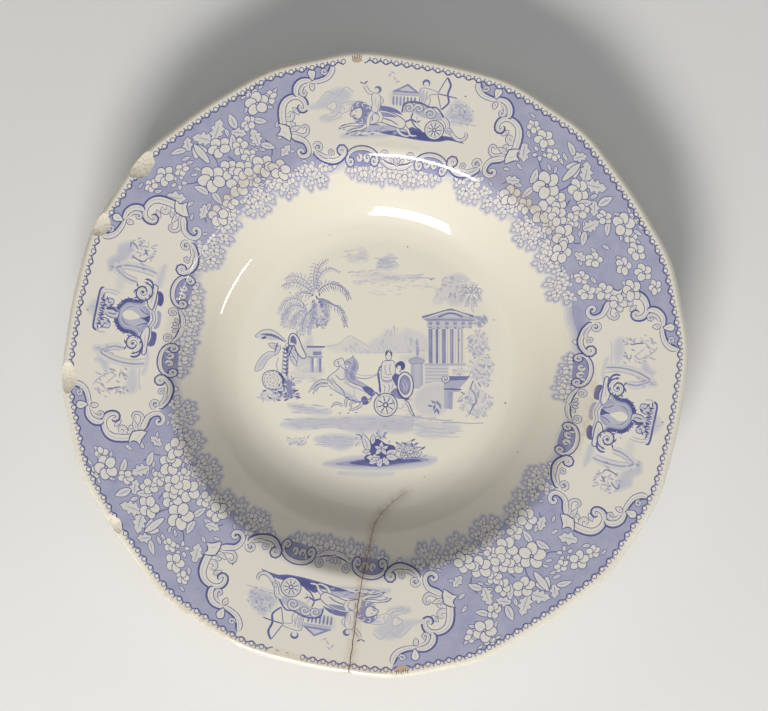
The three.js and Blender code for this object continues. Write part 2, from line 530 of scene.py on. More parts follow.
def scroll(route, width, heavy=0.0):
    """A band of scrollwork: a dark edge, heavier on one side, a pale face and a fine groove."""
    along = np.gradient(route)
    side = 1j * along / np.maximum(abs(along), 1e-9)
    width = np.atleast_1d(np.asarray(width, float))
    band = []
    if heavy:
        band.append((stroke(route + side * 0.4 * heavy, width + 0.75), DARK))
    band.append((stroke(route, width + 0.62), LINE))
    band.append((stroke(route, width), PALE))
    band.append((stroke((route + side * 0.12 * width.mean())[1:-1], 0.26), MID))
    return band


def ribbon(width, heavy, *numbers):
    """A band of scrollwork through some points."""
    return scroll(smooth(path(*numbers)), width, heavy)


def coil(width, heavy, *numbers):
    """A band of scrollwork that coils up."""
    return scroll(spiral(*numbers), width, heavy)


def drawn(*rows):
    """A band from rows that each give a drawing function and what it takes."""
    band = []
    for make, *given in rows:
        band += make(*given)
    return band


inside_of_frame = path(
    0, 130.4, 25.5, 130.4, 26.5, 124, 30, 122, 35, 122.5, 39.5, 121.5, 40, 118, 44, 117.5, 48, 113,
    49, 105, 44, 100.5, 42, 97, 41, 93.5, 38, 91, 33, 88.5, 27, 89.5, 25, 90.5, 17, 91, 10, 89, 6, 86.5,
    0, 85.3,
)
# The saucer in the middle of the foot, and the arch beside it with curled leaves over a blue fill.
arch_fill = blob(8.6, 86.2, 10.6, 89.6, 15, 91.4, 20, 91.4, 24, 89.8, 25.2, 87, 21, 85.2, 14, 84.9)
half_frame = [(arch_fill, GROUND + 0.1)]
half_frame += drawn(
    (ribbon, [0.9, 1.6, 1.7], -0.6, 8.0, 87.4, 5.8, 85.8, 3, 84.9, 0, 84.7),
    (coil, [1.2, 1.0, 0.6], 0, 6.2, 89.3, 1.9, -70, 440),
    (leaf, 0, 86.2, 1.2, 88.6, 1.3, 0, 0),
    (leaf, 1.6, 86.2, 3.6, 88.0, 1.2, 0, 0),
    (coil, [1.4, 1.2, 0.6], 0, 15.0, 88.0, 1.7, 60, -350),
    (coil, [1.4, 1.2, 0.6], 0, 19.2, 88.3, 1.6, 100, 350),
    (ribbon, [1.2, 1.0, 0.5], 0, 12.6, 90.2, 13.4, 88.6, 12.8, 87.0),
)
arch_run = (9.9, 86.8, 10.4, 89.0, 13, 91.0, 17, 92.0, 21, 91.7, 24.2, 90.0, 25.2, 87.6)
arch_curls = spiral(11.6, 86.9, 1.7, 180, 420)[::-1], spiral(23.5, 87.3, 1.7, 10, -420)
foot_arch = np.concatenate([arch_curls[0], smooth(path(*arch_run)), arch_curls[1]])
half_frame += scroll(foot_arch, [0.7, 1.2, 1.5, 1.2, 0.7], 0.6)
half_frame += leaf(31.4, 88.8, 32.6, 85.4, 2.4, 0, 0)
volute_run = smooth(path(39.6, 94.2, 39.4, 93, 37.5, 90.8, 34.8, 89.3, 32, 88.4, 29, 88.7, 26.6, 90))
volute = np.concatenate([volute_run, spiral(27.2, 91.9, 1.9, 215, -400)])
half_frame += scroll(volute, [1.1, 1.8, 1.7, 1.5, 0.9], 1)
half_frame += drawn(
    (ribbon, [0.8, 1.2, 1.0], 0, 38.4, 93.4, 37.5, 92.5, 35.5, 90.9, 33, 90.4),
    (coil, 0.8, 0, 32.4, 92, 1.5, -80, -420),
    (coil, [1.3, 1.1, 0.7], 0.6, 37.6, 95.3, 2.1, 0, 430),
    (ribbon, [1.6, 1.3, 1.0, 0.7], 0, 46.8, 104.6, 44.6, 102.6, 42.3, 101.6, 40.4, 102.4, 39.8, 104.2, 40.7,
     105.4, 41.9, 104.9, 41.8, 103.9),
    (ribbon, [2.5, 2.0, 1.7, 1.6, 1.3, 0.9], 1, 47.4, 103.2, 45, 101.2, 42.8, 99.4, 41.9, 97, 42.2, 94.7,
     43.6, 93.4, 45.6, 93.4, 47, 94.6, 46.9, 96.1, 45.6, 96.5, 44.8, 95.6, 45.4, 94.9),
    (coil, [1.8, 1.5, 0.7], 0, 45.4, 111.2, 2.1, 10, -330),
    (coil, [1.6, 1.3, 0.6], 0, 45.9, 107.3, 1.7, 10, -330),
    (leaf, 47.4, 105.2, 42.6, 105.6, 1.8, 0, 0),
    (leaf, 43.2, 113.6, 41.6, 110.4, 1.4, 0, 0),
    (ribbon, [0.9, 1.2, 1.6, 2.0, 2.4, 2.4, 2.2], 1, 40.1, 114, 40.7, 112.9, 40.2, 111.7, 39, 111.7, 38.3,
     113.2, 38.5, 115.3, 39.9, 117.1, 42.2, 117.8, 44.8, 117.2, 46.8, 115.3, 48, 112.5, 48.8, 109.5, 49.1,
     106.5, 48.8, 104.2),
)
lobe = path(
    47.2, 106.8, 48.6, 108.2, 50.8, 109.6, 50.4, 107.6, 51.2, 106.4, 53, 105.6, 51.2, 104.6, 50, 103,
    48.8, 101.4, 47.6, 103.4,
)
lobe_rib = smooth(path(50.6, 106.4, 49.6, 105, 48.4, 104.2))
half_frame += [(grown(lobe, 0.5), DARK), (lobe, PALE), (stroke(lobe_rib, 0.35), MID)]
half_frame += drawn(
    (ribbon, [1.2, 1.3, 0.9, 0.7], 0, 35.6, 121.6, 37.4, 121.2, 38.6, 119.6, 38.6, 117.9, 37.5, 117.3, 36.9,
     118.2, 37.3, 119.2, 38, 118.9),
    (ribbon, [1.2, 2.0, 1.9, 1.4], 1, 33.6, 122.7, 37, 123.2, 39.3, 121.8, 40.4, 119.5, 40.3, 117.6),
    (leaf, 34.2, 121.6, 34.3, 118.4, 1.7, 0, 0),
    (ribbon, [1.3, 1.8, 1.7, 1.4], 1, 25.6, 127.6, 26.2, 124.8, 28.2, 122.6, 31, 121.9, 34, 122.1),
    (coil, 0.7, 0, 28.9, 125.4, 1.3, 200, 400),
)
bud = blob(33.4, 122.8, 32.3, 124.6, 32.1, 126.2, 33.3, 127.3, 34.5, 126.2, 34.3, 124.6)
bud_rib = path(33.3, 123.6, 33.3, 125, 33.3, 126.2)
half_frame += [(grown(bud, 0.4), LINE), (bud, PALE), (stroke(bud_rib, 0.3), MID)]

for name, (angle, stretch, lift) in FRAMES.items():
    place = on_rim(angle, stretch, lift)
    half = np.concatenate([smooth(inside_of_frame[1:-1], 1.2), inside_of_frame[-1:]])
    lay([(np.concatenate([inside_of_frame[:1], half, -half[::-1].conj()[1:]]), BARE + 0.02)], place)
    lay(half_frame + mirrored(half_frame), place)
lay(join, on_rim(41.0))


# ---- The pictures in the side frames ------------------------------------------------------------
# The left and right frames each hold a fountain: a basin of falling water held up by a blue arch on
# scrolled feet, with a water jet on each side, hills, and a few strokes for palms and rushes.


def wash(tone, *numbers):
    """A patch of even tone."""
    return [(blob(*numbers, step=1.1), tone)]


def soft(tone, *numbers):
    """A patch whose tone fades out at its edge in three steps."""
    patch = blob(*numbers, step=1.3)
    return [(grown(patch, 0.7), tone * 0.4), (patch, tone * 0.75), (grown(patch, -0.8), tone)]


def edged(face, edge, thick, *numbers):
    """A closed shape with an outline of the given thickness."""
    outline = blob(*numbers)
    return [(grown(outline, thick), edge), (outline, face)]


def panel(tone, *numbers):
    """A straight-sided patch of even tone."""
    return [(path(*numbers), tone)]


def spot(tone, x, y, *size):
    """An oval patch of even tone."""
    return [(oval(x + 1j * y, *size), tone)]


def pen(tone, width, *numbers):
    """A pen stroke through some points."""
    return [(stroke(smooth(path(*numbers)), width), tone)]


def blades(tone, size, *numbers):
    """Short leaf strokes, each given by its middle and its bearing in degrees."""
    band = []
    for x, y, turn in zip(numbers[0::3], numbers[1::3], numbers[2::3]):
        way = np.exp(1j * math.radians(turn)) * size / 2
        blade = x + 1j * y + way * np.array([-1, 0, 1])
        band.append((stroke(blade, [size * 0.2, size * 0.36, size * 0.12]), tone))
    return band


def scattered(tones, size, across, up_down, turns, count):
    """Leaf strokes at random: tone, place and bearing each lie between two limits."""
    band = []
    for _ in range(count):
        tone, x, y, turn = (hand.uniform(*limits) for limits in (tones, across, up_down, turns))
        band += blades(tone, size, x, y, turn)
    return band


fountain = drawn(
    (soft, 0.26, 15, 119.3, 18.6, 121.6, 21.8, 118.8, 24.5, 119.6, 28.3, 115.4, 26, 113.4, 20.6, 114.6),
    (soft, 0.26, -22, 113.6, -18.6, 117, -17.6, 119.2, -16, 117.4, -13.2, 120.4, -12.8, 116, -15, 113.6),
    (soft, 0.12, 9, 115, 13.5, 116, 14, 112.6, 10, 112.4),
    (soft, 0.2, -31, 106, -24, 105.4, -20.6, 102.6, -26, 101.4, -31, 102.6),
    (soft, 0.22, -24, 99.6, -19, 98.2, -13, 97.4, -17, 96.6, -22.6, 97.8),
    (soft, 0.22, 16, 99.4, 22, 100.2, 26, 98.8, 21, 97.4, 16, 97.2),
)
# Jets.
for route in (
    (-19.2, 98.2, -19.2, 104, -18, 110, -16.2, 114.6, -14.6, 117, -13.2, 114.6, -12.3, 111, -12.9, 107),
    (14.5, 107, 14.5, 111, 15.6, 115, 17, 117.4, 18.9, 114.5, 20.1, 110, 20.8, 105, 20.7, 100.4),
):
    fountain += pen(0.13, 3.4, *route)
    fountain += pen(GROUND + 0.06, 0.6, *route)
fountain += drawn(
    (pen, MID, 0.5, -17, 98, -17.5, 104, -16.5, 109, -15.2, 113, -14.4, 114.8, -13.7, 112, -13.8, 108.4),
    (pen, MID, 0.5, 15.9, 107.6, 16.1, 112, 17.1, 115, 18.2, 111.4, 18.9, 106, 19, 101),
    # Base, feet and scrolled supports.
    (wash, LINE, -11.2, 97.2, -7, 96.2, -4.6, 96.4, -4.8, 94.5, -7.4, 94, -10.8, 94.8),
    (wash, LINE + 0.06, 7.4, 94.8, 8.6, 96.8, 13.5, 97.9, 13.4, 95.6, 10, 94.2),
    (wash, GROUND, -3.2, 96, 0.6, 94.8, 5, 95.8, 4.6, 94, 0.6, 93.4, -2.6, 94),
    (ribbon, [0.7, 1.0, 0.7], 0, -11.4, 98, -7, 96.8, -3, 97.4, 0.6, 96.2, 4.4, 97.3, 9, 97, 13.8, 98.2),
    (edged, PALE, LINE, 0.5, -14.8, 99.4, -11, 99.2, -8, 100.6, -5, 100, -2.8, 98.4, -5, 97.5, -10, 97.8,
     -14.4, 98.2),
    (edged, PALE, LINE, 0.5, 15.4, 100.2, 12, 99.6, 9.4, 100.8, 6.6, 100, 5.2, 98.2, 7.6, 97.7, 12, 98,
     15.4, 98.6),
    (pen, MID, 0.4, -12, 98.7, -9, 98.8, -6, 99),
    (pen, MID, 0.4, 13, 99, 10, 99.2, 7.6, 98.9),
)
for turn in (1, -1):
    curl = spiral(0, 0, 3.3, 0, -430) + 11.3 + 103.7j
    supports = scroll(curl, [1.9, 1.5, 1.0], 0.8)
    supports += blades(
        LINE, 2.2, 8.6, 101.6, 40, 10.6, 100.6, 10, 8.4, 105.8, 110, 10.8, 107.2, 160, 13.4, 106.8, 30
    )
    supports += [(oval(11.3 + 103.7j, 0.7), LINE)]
    supports += pen(LINE, 0.9, 13.4, 99.9, 16, 100.8, 17, 102.8, 16.6, 104.6)
    supports += pen(LINE, 0.55, 14.6, 101.6, 15.6, 103, 15.4, 104.4)
    fountain += supports if turn > 0 else [(outline + 0.7, tone) for outline, tone in mirrored(supports)]
# The blue arch, the hollow under it and the drop of light in the hollow.
fountain += drawn(
    (wash, GROUND, -6.2, 102, -4.6, 107, -2, 110.4, 0.6, 111.4, 3.4, 110.4, 5.2, 107, 6.4, 102.6, 4, 98.6,
     0.4, 98, -3, 98.8),
    (wash, MID, -3.6, 101.6, -3.2, 105.6, -1.4, 109, 0.6, 110.4, 2.8, 109, 4.4, 105.6, 4.4, 101.4, 0.6,
     99.2),
    (wash, BARE, 0.6, 110.4, 2.1, 109, 2.8, 106.8, 2, 104.4, 0.8, 102.2, -0.6, 104.6, -1.2, 107, -0.5,
     109.2),
    (wash, DARK, 0.5, 102.4, 1, 100.4, 2.2, 98.3, -0.9, 98.2, -0.1, 100.2),
    (pen, LINE, 0.4, -3.4, 103.4, -1.8, 100.6, -1.2, 98.6),
    (pen, LINE, 0.4, 4.4, 103.4, 2.8, 100.6, 2.6, 98.6),
)
arch = (
    -7.8, 102, -5.9, 103.5, -5.1, 106, -4.9, 108.4, -3, 110.7, 0.2, 111.9, 3.5, 110.8, 5.6, 108.6,
    6.1, 105.5, 6.7, 103, 8.2, 102.2,
)
arch_line = smooth(path(*arch))
arch_out = np.gradient(arch_line)
arch_out = 1j * arch_out / abs(arch_out)
fountain += pen(LINE, [1.6, 3.0, 3.6, 3.7, 3.4, 3.7, 3.6, 3.0, 1.8], *arch)
fountain += [(stroke(arch_line - arch_out * 0.7, [0.7, 1.3, 1.6, 1.4, 1.6, 1.5, 0.8]), GROUND)]
fountain += [(stroke(arch_line - arch_out * 1.2, [0.4, 0.7, 0.9, 0.7, 0.9, 0.7, 0.4]), MID)]
fountain += [(stroke(arch_line + arch_out * 0.9, [0.5, 1.1, 1.3, 1.2, 1.3, 1.1, 0.6]), DARK)]
fountain += drawn(
    (blades, LINE, 1.9, -6.6, 108, 150, -5.4, 110.9, 130, -2.8, 112.7, 110, 3.6, 112.6, 75, 5.6, 111.3, 50,
     7.1, 108.9, 25),
    (blades, GROUND, 1.6, -6.9, 105.8, 170, -4.2, 112, 120, 4.8, 112, 60, 7.4, 106.8, 10),
    # The knot, the basin with its leafy bowl, and the water over it.
    (edged, WASH, LINE, 0.4, -1.2, 112.2, -1, 116, 0.4, 117.4, 1.9, 116.4, 2.3, 113.4, 1.2, 111.8),
    (pen, DARK, 0.9, 1.3, 117.2, 1.9, 114.6, 1, 112),
    (pen, LINE, 0.45, 0.2, 116.4, -0.1, 114, 0.4, 112.4),
    (soft, WASH, -2, 121.6, -1, 124.2, 0.2, 125.5, 2.2, 124.6, 4.2, 122.6, 4.4, 121.4),
    (pen, LINE, 0.4, -0.2, 125.6, -0.4, 124.4),
    (pen, MID, 0.4, 1.2, 121.8, 1.4, 123.2, 0.9, 124.6),
    (pen, MID, 0.55, -6.9, 120, -7.4, 118.4, -7.3, 116),
    (pen, MID, 0.5, 8, 120.2, 8.7, 117, 8.4, 112.6),
    (pen, MID, 0.5, 7, 120, 7.6, 117, 7.4, 113.8),
    (wash, WASH, -5.4, 120.8, 7, 120.9, 5.4, 118.6, 0.6, 117.2, -4, 118.4),
    (edged, WASH, LINE, 0.36, -5.4, 115, -5.3, 117.6, -3.8, 119, -2.2, 117.8, -2.6, 115.6, -4, 114.6),
    (edged, WASH, LINE, 0.36, 5.2, 115.2, 5.2, 117.4, 3.8, 118.6, 2.4, 117.6, 2.6, 115.8, 4, 114.8),
    (pen, LINE, 0.45, -4.6, 117.6, -3.8, 116.4, -4.4, 115.4),
    (pen, LINE, 0.45, 4.4, 117.4, 3.7, 116.4, 4.3, 115.6),
)
for k, x in enumerate(np.arange(-3.4, 5.6, 0.95)):
    lean = 0.35 * (1 if k % 2 else -1)
    fountain += pen(LINE, 0.5, x - lean, 120.4, x, 119.6, x + lean, 118.7 - 0.25 * (4 - abs(k - 4)))
fountain += drawn(
    (blades, DARK, 2.4, -4.4, 119.4, 100, -2.6, 118.4, 70, 2.6, 118.4, 110, 4.4, 119.4, 80, -1.0, 118.6,
     100, 1.2, 118.8, 80),
    (blades, LINE, 2.2, -5.4, 117.8, 140, -3.2, 115.4, 60, 5.2, 117.6, 40, 3.2, 115.4, 120, -5.8, 119.6, 20,
     6.0, 119.6, 160),
    (pen, LINE, 0.9, -7, 119.8, -6.4, 121, -5, 121.6, 1, 121.5, 7, 121.6, 8.5, 121.1, 8.9, 120.1),
)
# Palms and rushes.
for x0, x1, y0, y1, count, turn in (
    (-32, -21, 106, 119, 34, 55),
    (20, 32, 104, 116, 34, 120),
    (-17, -12, 112, 119, 10, 80),
    (15, 20, 113, 120, 12, 100),
):
    fountain += scattered((0.28, 0.62), 2.0, (x0, x1), (y0, y1), (turn - 30, turn + 30), count)
fountain += drawn(
    (pen, MID, 0.5, -31, 112.6, -28.4, 114.8, -26.2, 117, -25.8, 119.2),
    (pen, MID, 0.5, -27, 119.6, -24.7, 117.4, -23.2, 114.2, -22.4, 111.6),
    (pen, LINE - 0.1, 0.5, -28.5, 114, -28.7, 111.6, -28.3, 108.6),
    (pen, MID, 0.5, -26.6, 114.2, -25, 112, -23.6, 109.8),
    (pen, LINE - 0.2, 0.5, -24.8, 108.6, -22.9, 108.4, -23.1, 106.9, -24.6, 107),
    (pen, LINE - 0.1, 0.5, 23.4, 113, 22.9, 110, 23.2, 107.4, 24.8, 107),
    (pen, LINE - 0.2, 0.6, 25.8, 114.8, 27.9, 115.3, 27.6, 113.2, 26.4, 111.4),
    (pen, LINE - 0.15, 0.7, 28, 109.4, 27, 108.4, 25.9, 106.8),
    (pen, MID, 0.5, 29.6, 108.4, 31.4, 109.8),
    (blades, MID, 2.2, 27.4, 110.6, 60, 29.4, 112.2, 40, 30.6, 111, 70, 25, 105.2, 20, -30.4, 110.4, 120,
     -31, 107.6, 60),
    (pen, 0.24, 0.5, -31, 100.8, -24, 100.7, -20.4, 100.4),
)


# ---- The pictures in the upper and lower frames ---------------------------------------------------
# The upper and lower frames each hold a scrolled cart on one wheel, drawn along by leaping beasts over
# a dark blue shadow, with an archer standing in it and a small temple and trees behind.


def wheel(x, y, radius, spokes, rim):
    """A cart wheel: a double rim, spokes and a hub."""
    middle = x + 1j * y
    band = [(oval(middle, radius + rim * 0.7), DARK), (oval(middle, radius), PALE)]
    band += [(oval(middle, radius - rim * 1.1), MID), (oval(middle, radius - rim * 1.8), PALE)]
    for k in range(spokes):
        way = np.exp(2j * math.pi * (k + 0.3) / spokes) * (radius - rim)
        band.append((stroke(middle + way * np.array([0.2, 0.6, 1]), rim * 0.9), LINE))
    return band + [(oval(middle, radius * 0.26), LINE), (oval(middle, radius * 0.14), PALE)]


def beast(x, y, size, edge, shade):
    """A leaping beast that faces left, with a curled mane, drawn from its chest at x, y."""
    band = []
    legs = (
        (14.6, -1.4, 17.6, -2.6, 19.4, -4.6, 22.2, -4.2),
        (13, -2, 14.6, -4.6, 17.6, -5.4, 19.2, -4.8),
        (0.6, -1.6, -3, -3.2, -7, -3.4, -10.6, -4.4),
        (1.8, -2.2, -1.6, -4.8, -5, -5.4, -7.4, -6.8),
    )
    for leg in legs:
        band += pen(edge, [2.6, 1.6, 1.2, 1.1], *leg) + pen(PALE, [1.9, 1.0, 0.6, 0.5], *leg)
    band += drawn(
        (edged, PALE, edge, 0.36, 0, 0.4, 3, 2.4, 8, 3, 13, 1.9, 16.2, 0, 15.2, -2.6, 11, -2.3, 6, -1.5,
         2, -2.8, -0.6, -1.6),
        (wash, shade, 3, 2.0, 8, 2.6, 12.6, 1.6, 10, 1.0, 5.4, 0.8),
        (pen, edge, 0.4, 4.6, -1.4, 6.4, 0, 10.4, -0.4, 13.4, -1.6),
        (pen, edge, 0.4, 1.6, 1.2, 2.6, -0.4, 2.4, -1.8),
        (pen, edge, 0.7, 16, 0.2, 18.4, 1.8, 20.6, 1.2, 22, 2.4),
        (wash, shade, -0.6, 5.2, -3, 6, -5.6, 4.2, -5.8, 0.6, -3.6, -2.8, -0.4, -2.6, 1.8, 0.4, 1.6, 3.4),
    )
    for k in range(9):
        curl = spiral(-2.0, 1.4, 1.2, 40 * k, 200) + 2.9 * np.exp(1j * math.radians(30 + 40 * k))
        band += [(stroke(curl, [1.1, 0.9, 0.5]), edge), (stroke(curl, [0.6, 0.45, 0.25]), PALE)]
    band += drawn(
        (edged, PALE, edge, 0.3, -2.4, 3.2, -4.4, 2.6, -6.2, 1.2, -6, 0, -4.6, -0.2, -3.4, -1, -2, -0.2,
         -1.6, 1.8),
        (blades, edge, 0.9, -4.0, 1.7, 20, -5.9, 0.8, 60),
        (pen, edge, 0.36, -5.8, 0.1, -4.6, 0.4, -3.8, 0),
    )
    turn = size * np.exp(-0.09j)
    return [(outline * turn + x + 1j * y, tone) for outline, tone in band]


cart = drawn(
    (soft, 0.26, 18, 109, 19, 115, 22, 117.4, 26, 115, 28.6, 111, 25, 108.8),
    (soft, 0.24, 19.4, 116.6, 21.6, 117.6, 24, 114.6, 20.4, 112.4),
)
cart += scattered((0.28, 0.6), 1.7, (18.4, 28.4), (108.4, 116.6), (0, 180), 40)
cart += drawn(
    (blades, GROUND, 1.8, 20.4, 115.4, 20, 22.6, 113, 60, 24.6, 112, 10, 22, 110.6, 30, 26.2, 110.8, 60,
     19.6, 112.8, 80),
    (pen, MID, 0.45, 19.6, 107.6, 25, 108.4, 31, 109.6),
    (pen, 0.26, 0.4, 19, 106.6, 26, 107.6),
    (soft, 0.2, -34, 107.4, -27, 107, -25, 105.4, -30, 104.6, -34, 105.6),
    (soft, 0.24, -26, 98.6, -14, 97.6, -4, 98, -6, 96.8, -18, 96.6, -27, 97.4),
    # Temple and palm.
    (soft, 0.22, -38, 112, -33, 113.6, -28, 117, -23, 117.4, -20, 114, -24, 111, -32, 110.6),
    (pen, MID, 0.4, -34, 113, -29, 117, -25, 114.6, -22, 117.6, -19, 115),
    (soft, 0.14, -5, 116, -4.8, 111, 0, 110.4, 0, 116),
    (panel, GROUND + 0.14, -4.6, 116, 1.2, 120.2, 6.2, 116.8),
    (panel, WASH, -2.0, 116.9, 1.2, 119.2, 4.2, 117.2),
    (panel, MID, -4.2, 116, 5.8, 116.7, 5.8, 115.4, -4.2, 114.7),
)
for x in (-3.9, -2.5, -1.1, 0.3, 1.7, 3.1, 4.5):
    cart += pen(LINE - 0.2, 0.75, x, 114.6 + x * 0.07, x + 0.1, 112.6, x + 0.2, 110.2)
cart += drawn(
    (blades, MID, 2.2, -4.6, 124, 150, -5.6, 122.8, 60, -3.8, 121.6, 120, -2.6, 120.4, 40),
    # A far beast, pale, and a near one over the shadow.
    (beast, -25.4, 109.6, 0.78, GROUND, 0.2),
)
shadow = (
    -9, 98.4, 0, 97.2, 8, 96.9, 14, 97.4, 18.4, 98.4, 22, 100, 29, 100.9, 22, 101.6, 16, 100.6,
    10, 100.8, 4.8, 102, 2.6, 99.8, -4, 99.4,
)
cart += drawn(
    (wash, LINE, *shadow),
    (wash, DARK, 6, 98.2, 12, 97.6, 17, 98.6, 20, 100.4, 15, 100.4, 9, 100.4, 5.6, 100.6),
    (pen, LINE - 0.1, 0.8, -27, 100.9, -24.4, 102.2, -20, 101.8, -14, 101.3, -9, 101.6),
    (pen, GROUND, 0.8, -24, 98.8, -18, 99.4, -12, 99.2, -6, 99.6),
    (pen, GROUND, 0.6, -22.4, 98, -20, 97.4, -14, 97.2),
    (wash, MID, -24, 99.6, -14, 99, -4, 99.4, 2, 100.4, -2, 101.6, -12, 101.4, -20, 101),
)
cart += scattered((0.4, 0.8), 2.2, (-26, 4), (97.6, 100.6), (-20, 20), 26)
cart += drawn(
    (beast, -14.8, 105, 1.04, LINE, GROUND + 0.12),
    (wash, LINE - 0.1, -11, 108.4, -8, 109.6, -3, 109, 0.6, 106.6, -1.6, 107, -6, 107.6),
)
# A small rider's figure, and the archer, with plain heads.
for limb, wide in (
    ((-11.4, 114.2, -13.4, 115, -15.2, 118.2), 1.0),
    ((-9.6, 113.8, -8.2, 111.6, -9.6, 109.8), 0.9),
    ((-11.4, 107.6, -13.6, 104.6, -14.2, 100.4), 1.3),
    ((-9.8, 107.4, -8.4, 104.8, -9.4, 102.6), 1.2),
):
    cart += pen(LINE - 0.2, wide + 0.6, *limb) + pen(PALE, wide, *limb)
cart += drawn(
    (edged, PALE, LINE - 0.2, 0.3, -12.2, 112.8, -11.6, 114.4, -9.6, 114.2, -8.9, 111.8, -9.2, 108.6, -10.6,
     106.8, -12.2, 107.6, -12, 110.2),
    (pen, MID, 0.36, -10.6, 113, -10.8, 110.6, -10.4, 108.4),
    (wash, MID, -9.6, 112, -9.2, 109, -10.2, 107.4, -9.8, 109.8),
    (pen, LINE, 0.6, -15.2, 118.2, -16.6, 119.2),
    (pen, LINE, 0.6, -15.2, 118.2, -13.6, 119.4),
    (spot, LINE - 0.1, -9.8, 116.2, 1.35, 1.5),
    (spot, PALE, -10.3, 115.8, 0.85, 1.0),
    (edged, PALE, LINE - 0.2, 0.3, 6.2, 118.7, 8.2, 119.4, 12.6, 118.8, 12.6, 118, 9.8, 117, 10.4, 114, 9.4,
     111.6, 6.8, 112, 6.4, 116),
    (wash, WASH + 0.1, 6.6, 118.2, 7.6, 118.6, 7.6, 113, 6.9, 112.6, 6.6, 116),
    (pen, GROUND, 0.4, 8.6, 118.4, 8.8, 115.6, 8.4, 112.6),
    (spot, LINE - 0.05, 7.8, 121.7, 1.45, 1.6),
    (spot, PALE, 7.9, 121.2, 0.95, 1.1),
    (pen, MID, 0.4, 7.8, 117.4, 8, 115, 7.6, 113.4),
    (pen, MID, 0.4, 9.2, 116.6, 9.4, 114.4),
    (pen, LINE, 0.75, 14.8, 126, 16.6, 122.8, 16.4, 119, 17.5, 115.4, 15.4, 111.6),
    (pen, LINE - 0.1, 0.38, 14.8, 126, 12.7, 118.3),
    (pen, LINE - 0.1, 0.38, 12.7, 118.1, 15.4, 111.6),
    (pen, LINE, 0.5, 12.6, 118.2, 20.3, 118.2),
    # The cart's scrolled body, its tail and its wheel.
    (wash, MID, 0, 107.6, 0.8, 111, 3.6, 112.6, 8, 112.4, 12, 110.8, 16, 110, 17.4, 107.6, 13, 106.8, 8,
     107, 4, 108.6),
)
for turned in ((2.7, 109.9, 2.3, 200, -420), (6.6, 110.3, 1.9, 180, -400), (11.6, 109, 2.5, 190, -440)):
    cart += coil([1.1, 0.9, 0.6], 0, *turned)
cart += drawn(
    (pen, LINE, 0.7, 0, 107.4, 0.4, 110.4, 2.6, 112.5, 6.8, 112.9, 10.6, 111.8, 13.4, 112.2, 16, 110.2,
     18.4, 107.4),
    (ribbon, [1.6, 1.4, 1.2, 0.7], 0, 16.4, 108.4, 18.8, 107.4, 20, 105, 21.6, 103.6, 24, 102, 26.4, 101.6,
     28.2, 102.8, 28.4, 104.6, 27.2, 105.2),
    (coil, 0.7, 0, 20.8, 104, 1.5, 120, 400),
    (pen, LINE, 0.6, 4.6, 108.4, 4.2, 105.4, 6.4, 102.4, 9.6, 101),
    (pen, MID, 0.4, 6.8, 107.4, 6.4, 104.8, 8.4, 102.6),
    (wheel, 14.7, 102.6, 3.9, 9, 0.55),
)

for name, (angle, stretch, lift) in FRAMES.items():
    lay(fountain if name in ("left", "right") else cart, on_rim(angle, stretch, lift))


# ---- The landscape in the well --------------------------------------------------------------------
# The middle of the well carries a broad landscape in the same blue: palms and a banana plant at the
# left, a small temple and a planter at the right, and between them two rearing horses with a
# two-wheeled cart. Clouds, hills and the ground are pale stipple; a clump of flowers stands in front.

WELL_SCALE = 1.052


def in_well(outline):
    """Lays a drawing on the well's floor, from the scale that it is seen at over the rim."""
    return (outline - 3.7 - 3.9j) * WELL_SCALE + 3.7 + 3.9j


def frond(tone, reach, *numbers):
    """A palm leaf: a thin rib with narrow blades that hang from both sides of it."""
    rib = smooth(path(*numbers), 1.25)
    along = np.gradient(rib)
    along = along / abs(along)
    band = [(stroke(rib, [0.5, 0.3]), tone + 0.22)]
    for k in range(1, len(rib)):
        share = k / len(rib)
        length = reach * (0.6 + 0.6 * math.sin(math.pi * share**0.7)) * hand.uniform(0.85, 1.2)
        for side in (1, -1):
            way = along[k] * 0.55 + side * 0.8j * along[k] - 0.65j
            way = way / abs(way) * length
            blade = rib[k] + way * np.array([0, 0.5, 1]) + np.array([0, 0.06, -0.06]) * 1j * length
            band.append((stroke(blade, [0.34, 0.48, 0.16]), tone * hand.uniform(0.95, 1.5)))
    return band


def foliage(tone, x, y, wide, high, count, size=1.5, pale=0.4):
    """A mass of leaves: small dabs at random in an oval, some of them left pale."""
    band = [(oval(x + 1j * y, wide * 0.8, high * 0.8), tone * 0.42)]
    for _ in range(count):
        turn = hand.uniform(0, 2 * math.pi)
        out = math.sqrt(hand.random())
        middle = x + out * wide * math.cos(turn) + 1j * (y + out * high * math.sin(turn))
        way = np.exp(1j * hand.uniform(0, math.pi)) * size * hand.uniform(0.6, 1.2)
        dab = middle + way * np.array([-0.5, -0.1 + 0.22j, 0.5, 0.05 - 0.22j])
        band.append((dab, PALE if hand.random() < pale else tone * hand.uniform(0.75, 1.6)))
    return band


# Sky, hills and ground.
landscape = []
for patch in (
    (0.2, 0.6, 41.8, 3, 44.6, 6.2, 46.8, 8.4, 45.6, 6.8, 43.8, 9.4, 41.6, 5.6, 40.2, 2, 40.4),
    (0.12, -12.4, 45.4, -9.4, 46.4, -6.4, 44.4, -8.4, 43.2, -11, 43.8),
    (0.12, -7.8, 49, -5.2, 49.6, -3.4, 47.4, -2.8, 44.4, -4.4, 43.6, -5, 46.4),
    (0.1, -8, 38, 2, 39.4, 12, 37.6, 20, 37.2, 10, 35.2, 0, 35.6),
):
    landscape += soft(*patch)
